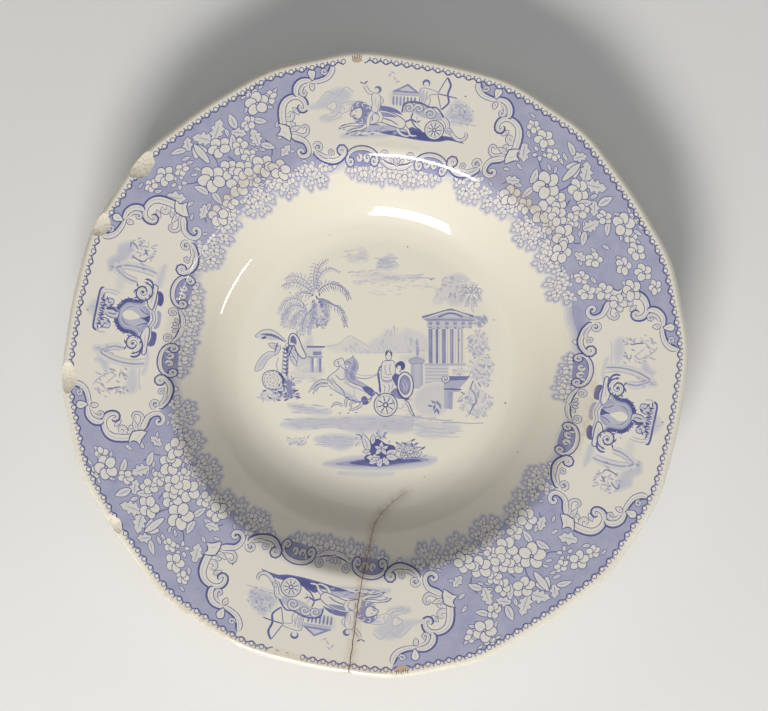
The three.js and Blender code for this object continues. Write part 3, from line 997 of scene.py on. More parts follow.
# The clouds' streaks: short level strokes, denser and darker in their cores.
for x0, x1, y0, y1, count, tone in (
    (-13, -3, 43, 48.6, 34, 0.26),
    (-11, 1, 37, 40.4, 26, 0.27),
    (0.6, 9.4, 40.4, 46.6, 46, 0.38),
    (2, 20, 35, 38.6, 46, 0.3),
    (-9, 6, 33.4, 36.6, 26, 0.22),
    (8, 26, 30.6, 35.6, 24, 0.2),
    (-2, 10, 29, 31.4, 10, 0.16),
    (16, 25, 36, 37.4, 10, 0.34),
):
    for _ in range(count):
        x, y = hand.uniform(x0, x1), (hand.uniform(y0, y1) + hand.uniform(y0, y1)) / 2
        long = hand.uniform(1.2, 3.2)
        shade, rise = hand.uniform(0.7, 1.2), hand.uniform(-0.2, 0.3)
        landscape += pen(tone * shade, 0.42, x - long / 2, y, x, y + rise, x + long / 2, y)
landscape += drawn(
    (soft, 0.13, -4, 8, -1, 10.6, 2.4, 12.4, 5, 15, 9.6, 13.6, 13.2, 15.4, 16.4, 14.2, 21.6, 11.6, 22, 5.2,
     10, 5, -8, 5.2),
    (soft, 0.1, -21, 7.8, -15, 9, -12.6, 10.6, -10.4, 11.6, -7.6, 10.4, -3, 8.2, -6, 5.4, -16, 5.6),
    (pen, 0.27, 0.4, -21, 7.6, -15.4, 8.8, -12.6, 11.2, -10.4, 12.2, -7.4, 10.4, -3.6, 8.2, -1.4, 7),
)
for _ in range(110):
    x = hand.uniform(-14, 20)
    top = 6.2 + 7.6 * math.exp(-(((x - 8) / 8) ** 2)) + 4.6 * math.exp(-(((x + 10) / 3.4) ** 2))
    y = hand.uniform(5.6, top)
    landscape += pen(hand.uniform(0.17, 0.36), 0.42, x, y, x + 0.5, y - 0.7, x + 1.1, y - 1.3)
for _ in range(26):
    x = hand.uniform(3, 18)
    y = 7 + 7.4 * math.exp(-(((x - 8.5) / 6.4) ** 2)) + hand.uniform(-2, 0.6)
    landscape += pen(hand.uniform(0.25, 0.4), 0.4, x, y, x + 0.1, y + 1, x + 0.3, y + 1.9)
landscape += drawn(
    (pen, 0.24, 0.4, -9, 5.4, -2, 5.2, 6, 5.3, 15, 5.2),
    (soft, 0.24, -37, -16.6, -31.4, -17, -24, -18.8, -18.6, -19.6, -20.6, -21.2, -29, -20.4, -35, -18.8),
    (soft, 0.25, -40, -25, -33, -22.8, -20, -22.4, -6, -21.6, 8, -22, 20, -22.8, 21, -25.4, 12, -28.6, 2,
     -28.4, -8, -28.8, -18, -26.4, -30, -27.4, -37, -26.6),
    (soft, 0.26, -26, -31.4, -20, -29.6, -12, -29.8, -8.4, -31, -10, -34.4, -15, -36, -21, -33.8),
    (soft, 0.17, 18, -24, 28, -24.6, 36, -26, 32, -29.4, 24, -31, 17.6, -29),
    (soft, 0.14, 10, 3, 16, 4.4, 21, 4.6, 21.4, 2.2, 14, 1.4),
    (soft, 0.13, -36, -3.4, -28, -3, -22.6, -4.4, -30, -5.8),
)
for x0, x1, y0, y1, count, tone in (
    (-38, 18, -27.4, -22.6, 90, 0.36),
    (-34, -20, -20.6, -17, 26, 0.36),
    (-24, -10, -35, -30.4, 30, 0.36),
    (16, 36, -30.6, -24.6, 34, 0.25),
    (-34, -22, -8, -3, 24, 0.25),
    (12, 24, -24, -12, 40, 0.22),
):
    for _ in range(count):
        x, y = hand.uniform(x0, x1), hand.uniform(y0, y1)
        long = hand.uniform(1.6, 4.4)
        landscape += pen(tone * hand.uniform(0.7, 1.15), 0.4, x - long / 2, y, x, y + 0.15, x + long / 2, y)
for y, x0, x1, tone in (
    (-23.4, -34, -8, 0.3),
    (-25, -30, 14, 0.27),
    (-26.6, -24, 10, 0.27),
    (-19, -33, -20, 0.28),
    (-31.4, -23, -11, 0.28),
    (-33.4, -20, -11, 0.27),
    (-22.4, 12, 26, 0.36),
    (-23.4, 22, 33, 0.4),
    (-27, 20, 30, 0.3),
    (-28.6, 18, 34, 0.27),
    (-30.4, 22, 36, 0.22),
    (-24.6, 28, 46, 0.42),
    (-21.8, 3, 20, 0.34),
):
    landscape += pen(tone, 0.5, x0, y, (2 * x0 + x1) / 3, y + 0.25, (x0 + 2 * x1) / 3, y - 0.25, x1, y)
# A brown-grey sprig at the lower left.
landscape += drawn(
    (foliage, 0.3, -32.6, -32.2, 4.6, 1.9, 26, 1.7, 0.3),
    (blades, 0.3, 2.6, -36.6, -31, 160, -35.6, -33.6, 10, -28.4, -30.6, 60),
)

# Palms at the left: trunks, hanging dead leaves, then the crowns.
landscape += drawn(
    (pen, MID, 1.4, -28.6, 8.4, -28, 12, -27.2, 18, -26, 26),
    (pen, WASH, 0.7, -28.4, 8.4, -27.9, 12, -27.2, 18, -26, 26),
    (pen, MID, 1.2, -33.4, 8, -33, 14, -31, 20, -29, 24),
    (foliage, MID + 0.06, -24.6, 21.4, 5, 6, 74, 2.2, 0.25),
    (foliage, GROUND, -21.4, 19.4, 1.6, 4.4, 22, 2.2, 0.1),
    (foliage, MID, -31.6, 18, 5.4, 5, 60, 2.0, 0.45),
    (foliage, MID, -37, 19.6, 2.6, 5.6, 30, 1.9, 0.5),
)
for tone, reach, *route in (
    (0.34, 2.6, -29, 23.6, -31.4, 27, -34.6, 28, -38, 26.6, -40.6, 22.4),
    (0.34, 2.4, -29, 23.4, -32.4, 25, -35.6, 24.6, -38, 21.6, -39.4, 17.4),
    (0.34, 2.2, -29, 23, -32, 22.4, -34.4, 19.8, -35.4, 16),
    (0.4, 2.4, -28.6, 23, -29.6, 20.4, -30.6, 17.4, -31, 13.4),
    (0.34, 2.6, -25.6, 30.6, -28, 34, -31, 36.6, -34.4, 37.6, -37.4, 36.4),
    (0.36, 2.6, -25.8, 30.2, -29, 32.6, -32.4, 34.4, -35.4, 34.8, -38.4, 33.4),
    (0.36, 2.4, -26, 29.8, -28.6, 30.2, -31.4, 30.4, -33.4, 28.8),
    (0.4, 2.6, -25.4, 31, -26, 34.6, -26, 38.4, -25.2, 42.6),
    (0.36, 1.4, -25.2, 35, -24.4, 39, -23, 42.4, -20.2, 44.2),
    (0.36, 1.6, -25, 31.6, -24.2, 36, -22, 39.6, -19, 40.8, -15.4, 39.4),
    (0.52, 2.6, -24.6, 30.4, -22.4, 32.8, -19.4, 34.2, -16, 33.6, -13, 31.6, -11.2, 28.6),
    (0.5, 2.4, -24.6, 28.2, -21.6, 27.2, -18.8, 25.6, -16, 24.4, -13.6, 21.4, -12.6, 17),
    (0.42, 2.2, -25, 28, -22, 26.6, -20.4, 23.4, -19.8, 19.6),
    (0.42, 2.2, -25.6, 27.6, -25.8, 24, -26.6, 20.6, -27.2, 17),
):
    landscape += frond(tone, reach, *route)
landscape += blades(LINE, 1.9, -26.6, 29.4, 40, -24.8, 28.6, 120, -26.4, 26.8, 60, -23.6, 29.8, 100, -22.6,
    25.4, 110, -23.4, 26.6, 20)

# The ruin behind, and the banana plant in front of it with its round bush and undergrowth.
landscape += drawn(
    (soft, 0.16, -31, 8, -27, 12, -26.6, 4, -29, -2, -33, -3, -34, 3),
    (soft, 0.2, -30, -1, -22, -1.6, -22, -3.4, -31, -3.6),
    (panel, LINE - 0.1, -29.0, 8.0, -21.2, 7.9, -21.3, 7.2, -29.0, 7.2),
    (panel, 0.16, -27.8, 7.2, -22.4, 7.2, -22.5, 5.6, -27.8, 5.6),
    (panel, GROUND + 0.12, -26.4, 5.6, -22.6, 5.6, -22.7, 4.0, -26.4, 3.9),
    (panel, GROUND, -28.6, 3.6, -22.2, 3.7, -22.2, 3.0, -28.6, 2.8),
)
for x, wide, tone in (
    (-27.8, 1.5, 0.3),
    (-27.0, 0.9, GROUND + 0.12),
    (-24.8, 1.5, 0.26),
    (-23.8, 1.0, GROUND + 0.16),
):
    landscape += panel(tone, x, 2.9, x + wide, 2.9, x + wide, -3.2, x, -3.2)
landscape += drawn(
    (pen, GROUND + 0.08, [2.4, 3.0, 2.6, 2.2], -37.4, -14, -38.2, -6, -38, 1, -37, 9.4),
    (pen, PALE, [1.0, 1.4, 1.0], -37.6, -12, -38.7, -4, -38, 4, -37.2, 9),
)
for y in np.arange(-12, 8, 1.7):
    landscape += pen(LINE, 0.7, -39.3, y + 0.6, -38, y - 0.3, -36.8, y + 0.7)
    landscape += pen(DARK, 0.6, -37.4, y - 0.2, -36.7, y + 0.5)
landscape += drawn(
    (edged, PALE + 0.05, LINE - 0.2, 0.36, -38, 9.8, -40.6, 12.6, -44, 14.6, -47.6, 14.4, -50.6, 12, -47,
     12, -43, 12.2, -40, 10.6),
    (wash, 0.22, -50, 12, -46.6, 13.2, -43, 12.8, -40.4, 11.2, -43, 10.4, -47, 10.8),
    (pen, LINE, 0.5, -38.6, 9.8, -41.6, 12, -45, 13, -48.6, 12.8),
    (pen, DARK, 1.0, -48.2, 11, -46, 11.8),
    (pen, LINE - 0.1, 0.5, -40.4, 10.6, -43.6, 12.2, -47, 12.6),
    (pen, LINE, 0.5, -36.8, 8.6, -35, 6.8, -33.8, 4.2),
    (leaf, -41, 7.4, -45.2, 8.8, 2.0),
    (leaf, -40.2, 8, -42.4, 3.8, 1.6),
    (leaf, -35.6, 7, -33, 1.4, 1.8),
    (leaf, -36, 3.6, -33.4, -0.6, 1.6),
    (edged, PALE, LINE, 0.45, -36.4, 8.6, -36.2, 12, -34.6, 13.1, -32.6, 11.2, -31.2, 7.4, -29.4, 3.4, -31,
     3.0, -33, 5.4, -34.2, 8.2),
    (wash, LINE - 0.1, -35.9, 9.4, -35.7, 11.8, -34.6, 12.4, -33.4, 10.6, -33.4, 8.4, -34.4, 9),
    (pen, LINE, 0.55, -34, 8.6, -35.6, 6.6, -36.4, 3.4),
    (pen, DARK, 1.1, -36.7, 8, -37.4, 6.6, -37, 5.2),
    (edged, PALE + 0.07, LINE - 0.3, 0.36, -42.6, 5.2, -46, 5, -49.4, 1.6, -50.8, -2.4, -48, -1.6, -45.4,
     2.4, -43, 4),
    (wash, 0.22, -46, 4.2, -49, 1.2, -50.2, -2, -48, -0.8, -46, 2),
    (pen, MID, 0.4, -43, 4.6, -46.4, 3, -49.4, -1),
    (pen, LINE - 0.1, 0.7, -41.2, 9.4, -42, 7.4, -42.4, 5.4),
    (pen, MID, 0.6, -40.8, 3.4, -41.8, 0, -41, -3),
    (foliage, GROUND + 0.1, -37.6, -9, 3.4, 5.6, 64, 2.0, 0.35),
    (foliage, GROUND + 0.12, -38.4, -13, 7.0, 2.2, 60, 2.0, 0.35),
    (foliage, MID, -45.4, -13.4, 4.6, 2.6, 40, 1.8, 0.4),
    (edged, PALE, LINE - 0.1, 0.4, -47.6, -6, -46.4, -3.4, -43, -2.6, -40, -4, -39, -7, -40, -9.6, -43,
     -10.4, -46.4, -9.4),
)
for ring, count in ((3.3, 14), (2.1, 9), (0.9, 5)):
    for k in range(count):
        way = np.exp(2j * math.pi * (k + 0.5 * (ring > 2.5)) / count)
        at = -43.4 - 6.5j + ring * way
        mark = at + way * 1j * np.array([-0.7, 0, 0.7]) + way * np.array([0, 0.5, 0])
        landscape += [(stroke(mark, 0.36), LINE - 0.12)]
landscape += drawn(
    (pen, DARK, 1.0, -41, -3.4, -39, -5.6, -39.2, -8.4),
    (blades, LINE, 2.0, -40.6, -8.6, 60, -38.6, -10.2, 100, -36.8, -9, 70, -42, -10.6, 20, -39.8, -11.6,
     140),
    (wash, GROUND + 0.14, -37, -6, -35.4, -8, -35.2, -11, -33.4, -11.4, -35.6, -12.6, -37.6, -11),
    (blades, LINE, 2.4, -33.4, -11, 20, -33, -13.6, -10, -41, -15, 170, -37.6, -14.8, 30, -46.8, -11, 10,
     -44.6, -14, 150),
)

# The temple, the pedestal and the trees at the right.
landscape += drawn(
    (soft, 0.2, 28.6, 35.6, 31.6, 37.6, 36, 38.4, 40, 35.6, 36.6, 34, 33, 34.8),
    (soft, 0.17, 25.4, 31, 30, 33, 32.6, 36, 34, 31, 31, 29.6),
    (soft, 0.17, 30, 28.4, 34.6, 31, 38, 30, 36.6, 25.8, 32, 25.4),
    (soft, 0.12, 24.6, 27, 28, 28, 28.4, 26, 25, 25.8),
    (foliage, 0.34, 33, 33, 6, 4.6, 60, 2.0, 0.25),
    (foliage, 0.27, 27.6, 28.6, 3, 2.6, 12, 1.5, 0.3),
    (foliage, 0.34, 43.4, 18.6, 4.6, 3, 44, 2.2, 0.3),
    (foliage, 0.32, 43.4, 8.6, 5.6, 6, 90, 2.0, 0.35),
    (foliage, 0.3, 45, -2.4, 5.4, 8, 110, 2.2, 0.4),
    (foliage, 0.28, 43, -16, 7, 7.4, 120, 2.3, 0.45),
    (pen, MID, 1.0, 41.6, 21.6, 41, 25, 41.2, 29),
    (pen, PALE, 0.5, 41.6, 21.6, 41.1, 25, 41.2, 29),
)
for route in (
    (40.8, 30, 38.8, 32.6, 36.6, 32.4),
    (40.8, 30, 38, 30.6, 36.4, 27.6),
    (41, 30.2, 42.4, 32.8, 44.6, 31.6),
    (41, 30, 43.4, 30.4, 44.4, 27.4),
    (40.8, 30.2, 41, 32.6, 41.4, 34.6),
    (40.6, 29.8, 39.4, 28, 38.8, 25.6),
    (41, 29.6, 42, 27.8, 42.2, 25.4),
):
    landscape += frond(0.34, 1.7, *route)
landscape += blades(GROUND, 3.6, 43.6, 19.6, 140, 45.4, 18.4, 130, 44, 17.2, 125, 46.6, 19.8, 120)

landscape += panel(0.07, 22.2, 15.6, 22.4, 0, 38, 0, 37.4, 15.6)
for x0, x1, tone in (
    (22.4, 24.2, 0.58),
    (25.4, 26.6, 0.66),
    (28.0, 29.8, 0.6),
    (31.5, 33.1, 0.56),
    (34.7, 35.4, 0.5),
    (36.3, 36.9, 0.46),
):
    landscape += panel(tone, x0 + 0.1, 15.2, x0 + 0.2, 0.2, x1, 0.2, x1, 15.2)
    landscape += panel(tone + 0.16, x1 - 0.35, 15.2, x1 - 0.35, 0.2, x1, 0.2, x1, 15.2)
for x in (24.8, 27.2, 30.6, 34, 35.8):
    landscape += pen(0.24, 0.3, x, 14.8, x, 7.5, x, 0.6) + pen(LINE - 0.2, 0.4, x - 0.7, 15.3, x + 0.7, 15.3)
landscape += drawn(
    (panel, 0.3, 21.8, 18.8, 22, 15.6, 40.6, 15.6, 41.4, 18.8),
    (panel, 0.22, 22.2, 18.2, 22.3, 16.2, 40, 16.2, 40.6, 18.2),
)
for x in (23.3, 26.5, 30.3, 33.8, 37.2, 40.2):
    landscape += [(oval(x + 17.5j, 0.95, 0.9), GROUND + 0.06), (oval(x + 15.7j, 0.7, 0.4), GROUND + 0.1)]
landscape += drawn(
    (panel, MID + 0.04, 19.4, 20.2, 20.8, 18.8, 42.6, 18.6, 42.6, 20.2, 32, 24),
    (panel, WASH, 25, 20, 31.8, 22.2, 38.4, 20),
    (pen, LINE - 0.12, 0.8, 19.6, 20.1, 25.6, 21.6, 31.6, 23.2, 36, 22, 42, 20.4),
    (pen, LINE - 0.1, 0.7, 26.4, 20, 31.8, 21.8, 37.4, 20.1),
    (pen, LINE - 0.2, 0.6, 20.8, 18.9, 30, 19, 42, 18.8),
    (pen, PALE, 0.5, 22, 20, 31.8, 22.7, 40, 20.4),
    (panel, 0.16, 21, 0.2, 21, -8.6, 31, -8.6, 31, 0.2),
    (panel, MID, 20.8, 0.6, 20.8, -0.5, 38.4, -0.5, 38.4, 0.6),
)
for y in (-1.7, -3.0, -4.4, -5.9, -7.4):
    landscape += pen(MID + 0.06, 0.5, 21, y, 26, y, 31, y)
landscape += drawn(
    (panel, 0.4, 15, 1, 15, -10, 20.2, -10, 20.2, 1),
    (panel, 0.3, 16.6, 0.6, 16.6, -9.4, 19, -9.4, 19, 0.6),
    (panel, PALE, 20.2, 0.6, 20.2, -10, 20.8, -10, 20.8, 0.6),
    (edged, 0.42, LINE - 0.2, 0.25, 14.2, 1.6, 15.8, 2.6, 17.8, 3, 19.6, 2.4, 20.8, 1.6, 20.2, 0.7, 14.8,
     0.7),
    (pen, GROUND, [0.9, 1.5, 1.0, 1.1], 17.8, 3.4, 17.9, 6.4, 17.7, 9, 17.7, 11),
    (pen, MID, 0.6, 17, 8.4, 18.8, 7.4),
    (soft, 0.16, 21, -9, 30, -9, 29, -20, 20, -21, 16.4, -15),
    # The planter and the plants before it.
    (foliage, MID, 35.6, -3, 3.4, 1.8, 26, 1.5, 0.3),
    (panel, 0.42, 29, -5.8, 39, -6.4, 35.8, -9.9, 29, -10),
    (panel, LINE - 0.1, 31.2, -4.8, 40.2, -4.8, 38.8, -6.5, 31.4, -6.7),
    (coil, 0.8, 0, 29.6, -6, 1.7, 60, -420),
    (panel, 0.4, 29.2, -10.2, 36, -10.2, 35.6, -11.4, 33, -11.6, 32.7, -19, 29.2, -18.4),
    (panel, 0.5, 31, -11.2, 32.6, -11.4, 32.4, -18.6, 31, -18.4),
    (pen, LINE - 0.05, 0.7, 28.8, -10.3, 32, -10.3, 36.6, -10.5),
    (blades, LINE - 0.15, 2.8, 24.6, -15.8, 150, 26.4, -16.2, 120, 27.4, -17.4, 100, 25, -18, 70, 25.6,
     -19.4, 60, 26.6, -19.8, 110, 23.2, -17.4, 170),
    (pen, LINE - 0.25, 0.6, 41.6, -6.4, 40.4, -9.8, 42, -12.4, 42.8, -15.6, 41, -18.4, 39.6, -21.4),
    (pen, MID, 0.5, 38.6, -12, 36.4, -13.4, 34.6, -15.8),
    (blades, GROUND + 0.05, 2.6, 40.4, -9.6, 60, 38.6, -13.8, 20, 37, -12, 150, 43.6, -13, 95, 44, -8.4,
     120, 41.4, -17, 60, 36, -15.4, 10, 46, -0.6, 60, 48, -1, 120),
)

# The two horses. The far one shows as a second neck, back and pair of legs.
landscape += drawn(
    (edged, 0.4, LINE - 0.2, 0.25, -12.9, 0.6, -12.6, 1.6, -11, 2.4, -9.4, 3.2, -8.6, 2.4, -7.6, 1.0, -7.4,
     -1.6, -8.6, -4.4, -7.8, -6.4, -4.4, -8.4, -1.6, -10.6, -0.2, -12.6, -3, -13, -8, -10, -12, -8, -12.4,
     -4, -11.6, -1.6, -10.6, -0.2, -12, 0),
    (wash, GROUND + 0.1, -9.4, 2.4, -8.2, 1.4, -8, -1.4, -9.2, -4.4, -8.4, -6.6, -10.6, -6, -10.6, -2.6,
     -9.4, 0),
    (pen, LINE, 0.4, -12.4, 1.4, -11, 1.0, -10, 0.2),
    (pen, DARK, 0.5, -9.9, 3.1, -9.4, 3.9, -9.0, 3.0),
    (edged, PALE, LINE, 0.28, -17.3, 1.0, -16.4, 2.0, -15.0, 2.4, -14.2, 2.9, -13.4, 1.6, -12.8, -0.6,
     -12.2, -3.2, -12.2, -5.6, -9.8, -7.8, -6.4, -9.2, -3.2, -10.6, -1.6, -12.8, -2.2, -15.2, -4.2, -16.8,
     -7.2, -15.6, -11.4, -13.8, -15.4, -11.8, -18.8, -9.6, -20.3, -7.0, -19.4, -5.0, -16.6, -2.8, -14.9,
     -0.8, -16.2, -0.6, -17.2, -0.2),
    (wash, MID, -12.9, -1, -12.3, -3.4, -12.4, -5.8, -10, -8, -11.6, -7.6, -13.4, -5.8, -13.2, -3),
    (wash, 0.22, -18.6, -7.4, -16.4, -9.4, -12, -11.6, -8, -13.6, -7.4, -15, -12, -13.4, -17, -10.6),
    (wash, LINE, -5.6, -9.6, -3, -9.2, -1, -10.4, -0.2, -12.2, -1.6, -13.4, -3.4, -12.2),
    (wash, LINE, -6.0, -14.2, -4.4, -13.2, -3.0, -14.8, -3.2, -16.6, -5.2, -16.8),
    (wash, PALE, -4.4, -12.9, -3.2, -12.4, -2.2, -14.2, -2.6, -15.4, -3.4, -14),
    (blades, DARK, 0.9, -15.5, 1.2, 20, -16.9, 0.7, 60),
    (pen, LINE - 0.1, 0.36, -16.3, 1.9, -15.5, 0.4, -15.2, -0.6),
    (pen, LINE - 0.1, 0.42, -18.6, -5.4, -16.6, -8.2, -14, -10.4, -12.8, -13),
    (pen, LINE - 0.2, 0.4, -17, -4.2, -14.8, -6.2, -13, -6),
    (pen, MID, 0.4, -9.6, -9.4, -8.8, -11.6, -9, -14),
    (pen, GROUND, 0.4, -13.6, -7, -10, -9.2, -6, -10.6, -3.6, -12),
)
for route, width in (
    ((-20, -7.2, -22.6, -6.9, -25, -8, -27.7, -11), [1.3, 0.8, 0.55]),
    ((-19.6, -8.6, -22.4, -8.6, -24.2, -9.2, -26, -11.7), [1.2, 0.8, 0.55]),
    ((-20.4, -6, -19.4, -6.6, -17.8, -8.4), [0.5, 0.5, 0.4]),
    ((-7, -15.4, -9.8, -15.8, -10.6, -16.6, -10, -18.4), [1.2, 0.8, 0.5]),
    ((-9.4, -14.4, -12, -14.4, -12.5, -16, -12.4, -18.2), [1.1, 0.7, 0.5]),
    ((-5.4, -16, -6.8, -17.8, -9, -18.8, -11.4, -19.1), [1.0, 0.7, 0.5]),
    ((-18.3, -17.6, -17, -16.4, -15.4, -16.5, -13.4, -17.5), [0.5, 0.7, 0.7]),
):
    landscape += pen(LINE - 0.05, np.array(width) + 0.55, *route) + pen(PALE + 0.1, width, *route)
landscape += drawn(
    (blades, LINE - 0.1, 1.4, -28, -11.4, 60, -26.2, -12, 60, -18.6, -12.8, 20, -15, -20.5, 30, -11.4,
     -20.4, 20, -8, -20.3, 10, -18.5, -17.8, 80),
    (pen, LINE - 0.25, 0.38, -15.2, 0, -10, -4.4, -4, -5.9, 2.8, -3.4),
    (pen, MID, 0.35, -14, 0.6, -8, -3.8, -2, -4.6, 3, -2.6),
    (pen, LINE - 0.15, 0.5, -13, -13.6, -8, -15.6, -3, -14.8, 0, -12),
    (pen, MID, 0.4, -1.4, -12, 0.4, -11.6, 1.4, -12.6),
)

# The cart, its driver and the shield bearer.
landscape += drawn(
    (edged, PALE, LINE - 0.1, 0.4, 1.4, -3, 1.8, -8, 2.4, -12.4, 6, -12.8, 9.4, -11, 9.6, -7, 8.6, -4, 5.4,
     -2.4),
    (wash, GROUND + 0.16, 6.4, -11.8, 8.8, -9.8, 10.6, -12.4, 12.4, -14.2, 9.6, -14.4, 7.6, -13),
    (edged, PALE, LINE, 0.3, 2.8, -0.4, 3.2, 1.0, 4.6, 1.7, 5.6, 1.5, 6.6, 1.8, 8.0, 1.0, 8.4, -1.6, 7.8,
     -5, 6, -6.6, 3.2, -6.2, 2.6, -3),
)
for fold in (
    (2.6, -6.6, 4.4, -7.4, 7.2, -7.0, 8.6, -6.2),
    (4.6, 0.4, 4.0, -1.4, 4.6, -3.4),
    (6.6, 0.6, 6.0, -1.6, 6.6, -4.2),
    (3.4, -3, 5.0, -4.2, 7.2, -4.0),
    (3.4, -8.2, 4.2, -10, 3.6, -12),
    (5.6, -7.8, 6.0, -9.8, 5.4, -11.8),
    (7.6, -7.2, 7.4, -9.0, 6.6, -10.6),
    (3.0, -5, 4.6, -5.4, 6.4, -5.6),
):
    landscape += pen(GROUND + 0.05, 0.36, *fold)
landscape += drawn(
    (pen, LINE, 0.55, 2.8, -0.2, 1.6, -1.6, 1.3, -3.2),
    (pen, LINE, 0.6, 1.4, -3, 1.9, -8, 2.3, -11.8),
    (edged, PALE, LINE, 0.28, 4.7, 2.8, 4.6, 4.6, 5.6, 5.3, 6.7, 4.6, 6.6, 2.8, 5.6, 1.9),
    (wash, DARK, 4.3, 3.6, 4.3, 5.3, 5.1, 6.4, 5.4, 5.2, 4.9, 4.2),
    (wash, DARK, 6.3, 5.0, 6.1, 6.3, 7.1, 5.3, 7.1, 3.4, 6.6, 3.8),
    (pen, DARK, 0.55, 5.7, 5.2, 5.7, 6.4),
    (pen, MID, 0.3, 5.0, 4.0, 6.2, 4.0),
    (wash, LINE, 7, -5.2, 8.4, -3.9, 9.9, -3.9, 9.6, -7, 9.2, -9.6, 8, -7.4),
    (wash, DARK, 8.6, -0.9, 9.2, 0.9, 10.6, 1.6, 12.2, 1.0, 12.7, -0.8, 11.8, -2.3, 10.4, -2.2),
    (wash, PALE, 9.3, -1.0, 9.8, -0.2, 10.8, -0.6, 10.9, -2.0, 10, -2.4),
    (pen, LINE, 0.6, 10.6, -2.0, 10.4, -3.4),
    (edged, PALE, LINE, 0.5, 12.5, -3.3, 15, -5, 15.9, -8.8, 15, -12.6, 12.8, -14, 10.4, -12.2, 9.5, -8.6,
     10.2, -5),
    (edged, GROUND + 0.1, DARK, 0.25, 12.4, -4.6, 14.2, -6, 14.7, -8.8, 14, -11.6, 12.6, -12.6, 10.9, -11,
     10.4, -8.4, 11, -5.8),
    (pen, MID, 0.5, 12, -6, 13.4, -8.6, 13, -11.4),
    (pen, MID - 0.06, 0.5, 11.4, -7, 12.2, -9.4, 12.2, -11.4),
    (pen, DARK, 0.9, 9.2, -9.8, 10.2, -12.4, 12, -14.2, 14.6, -14.5),
    (pen, LINE - 0.05, 1.3, 12.6, -14.8, 14.2, -17.2, 15.2, -20, 16.6, -21.8),
    (pen, PALE, 0.6, 12.8, -15.2, 14.2, -17.4, 15.1, -20, 16.3, -21.4),
    (pen, MID, 0.5, 9, -18.1, 11, -18.5, 12.1, -17.5, 11.2, -16.8),
    (wheel, 4.4, -17, 4.7, 8, 0.6),
    (pen, LINE - 0.2, 0.4, 7, -14.6, 8.2, -17),
    (pen, LINE, 0.6, -0.4, -11.4, 1.2, -12.6, 2.2, -13.6),
)

# The clump of flowers in the foreground, over its long shadow.
landscape += drawn(
    (soft, 0.3, -22, -42, -14, -39.6, -5, -38.6, 6, -38.8, 16, -38, 26, -39.6, 22, -42.4, 10, -44, -4,
     -44.4, -14, -43.6),
    (soft, 0.15, -16, -45.8, -4, -45.2, 8, -46, -2, -47.2),
    (wash, GROUND + 0.05, -17, -42, -8, -40.2, 0, -39.6, 8, -39.6, 17, -39, 23, -40.4, 14, -42, 4, -43.2,
     -8, -43),
    (wash, LINE, -11, -41.6, -5, -40.2, 2, -40, 10, -40.2, 17, -39.8, 19.4, -40.8, 10, -41.8, 2, -43, -5,
     -42.6),
    (wash, DARK, -3.4, -38, -4.6, -40, -2, -41.8, 4, -41.8, 8, -40.8, 12, -40.2, 8, -39.2, 4, -38.2),
    (wash, DARK, -1.6, -32, 1.4, -31.4, 4.4, -33.4, 7.8, -34.2, 8.6, -36.4, 6, -38.6, 1, -39.4, -2, -37.6,
     -2.6, -34.6),
    (foliage, GROUND, 2.4, -29.4, 2.4, 2.2, 30, 1.4, 0.35),
    (foliage, MID + 0.06, 14.2, -35.8, 5.6, 2.6, 70, 1.8, 0.35),
    (foliage, MID, -7.4, -32.6, 2.0, 2.4, 16, 1.5, 0.3),
)
for x0, y0, x1, y1, wide, lobes in (
    (-2.6, -36.8, -5.4, -29.2, 2.9, 0),
    (-1.2, -33.6, -0.8, -29.4, 1.9, 0),
    (-2.4, -36.2, -5.2, -36.8, 1.4, 0),
    (2.0, -39.2, -3.8, -39.2, 2.4, 3),
    (1.6, -39.6, -2.6, -41.8, 2.2, 3),
    (2.4, -39.8, 1.6, -43.4, 2.4, 3),
    (3.4, -39.4, 5.8, -42.4, 2.2, 3),
    (4.2, -38.0, 9.4, -36.4, 2.6, 0),
    (4.6, -38.8, 9.6, -39.6, 2.4, 0),
    (2.6, -35.8, 2.6, -32.6, 1.5, 0),
    (2.6, -35.8, 5.4, -34.4, 1.4, 0),
    (2.6, -35.8, -0.2, -34.6, 1.4, 0),
    (2.6, -35.8, 4.8, -38.0, 1.5, 0),
    (2.6, -35.8, 0.2, -38.0, 1.5, 0),
    (10.6, -37.6, 13.8, -38.8, 1.7, 0),
    (15.0, -38.2, 18.4, -38.8, 1.5, 0),
    (16.2, -36.4, 19.6, -35.2, 1.4, 0),
    (12.0, -35.6, 11.4, -32.8, 1.3, 0),
):
    landscape += leaf(x0, y0, x1, y1, wide, lobes)
for x, y, size in ((10.2, -35.4, 1.5), (14.8, -36.2, 1.6), (17.6, -38.0, 1.3), (12.4, -38.6, 1.3)):
    landscape += flower(x, y, size)
landscape += drawn(
    (pen, LINE, 0.5, -8.4, -29.8, -6.8, -29.6, -5.6, -31),
    (pen, MID, 0.4, 8.4, -33.6, 12, -33.2, 15.6, -32),
    (blades, LINE, 2.4, 16, -31.9, 30, 17.4, -33.4, 20, 15.6, -33.8, 110, 20.4, -35.2, 40, 12.6, -33.4, 170,
     9.4, -33.2, 150),
    (blades, GROUND, 2.0, 13.6, -33.8, 60, 19.6, -37.2, 80, 21, -38.6, 20, 6, -32.6, 60, 4.2, -30.8, 120,
     0.4, -30.6, 40),
)
lay(landscape, in_well)


# ---- The beaded border ---------------------------------------------------------------------------
# The outer edge of the print is a string of pale beads in a dark scalloped line, with a fringe of
# faint strokes outside them. It runs over the ends of the frames, and is rubbed away in two places.

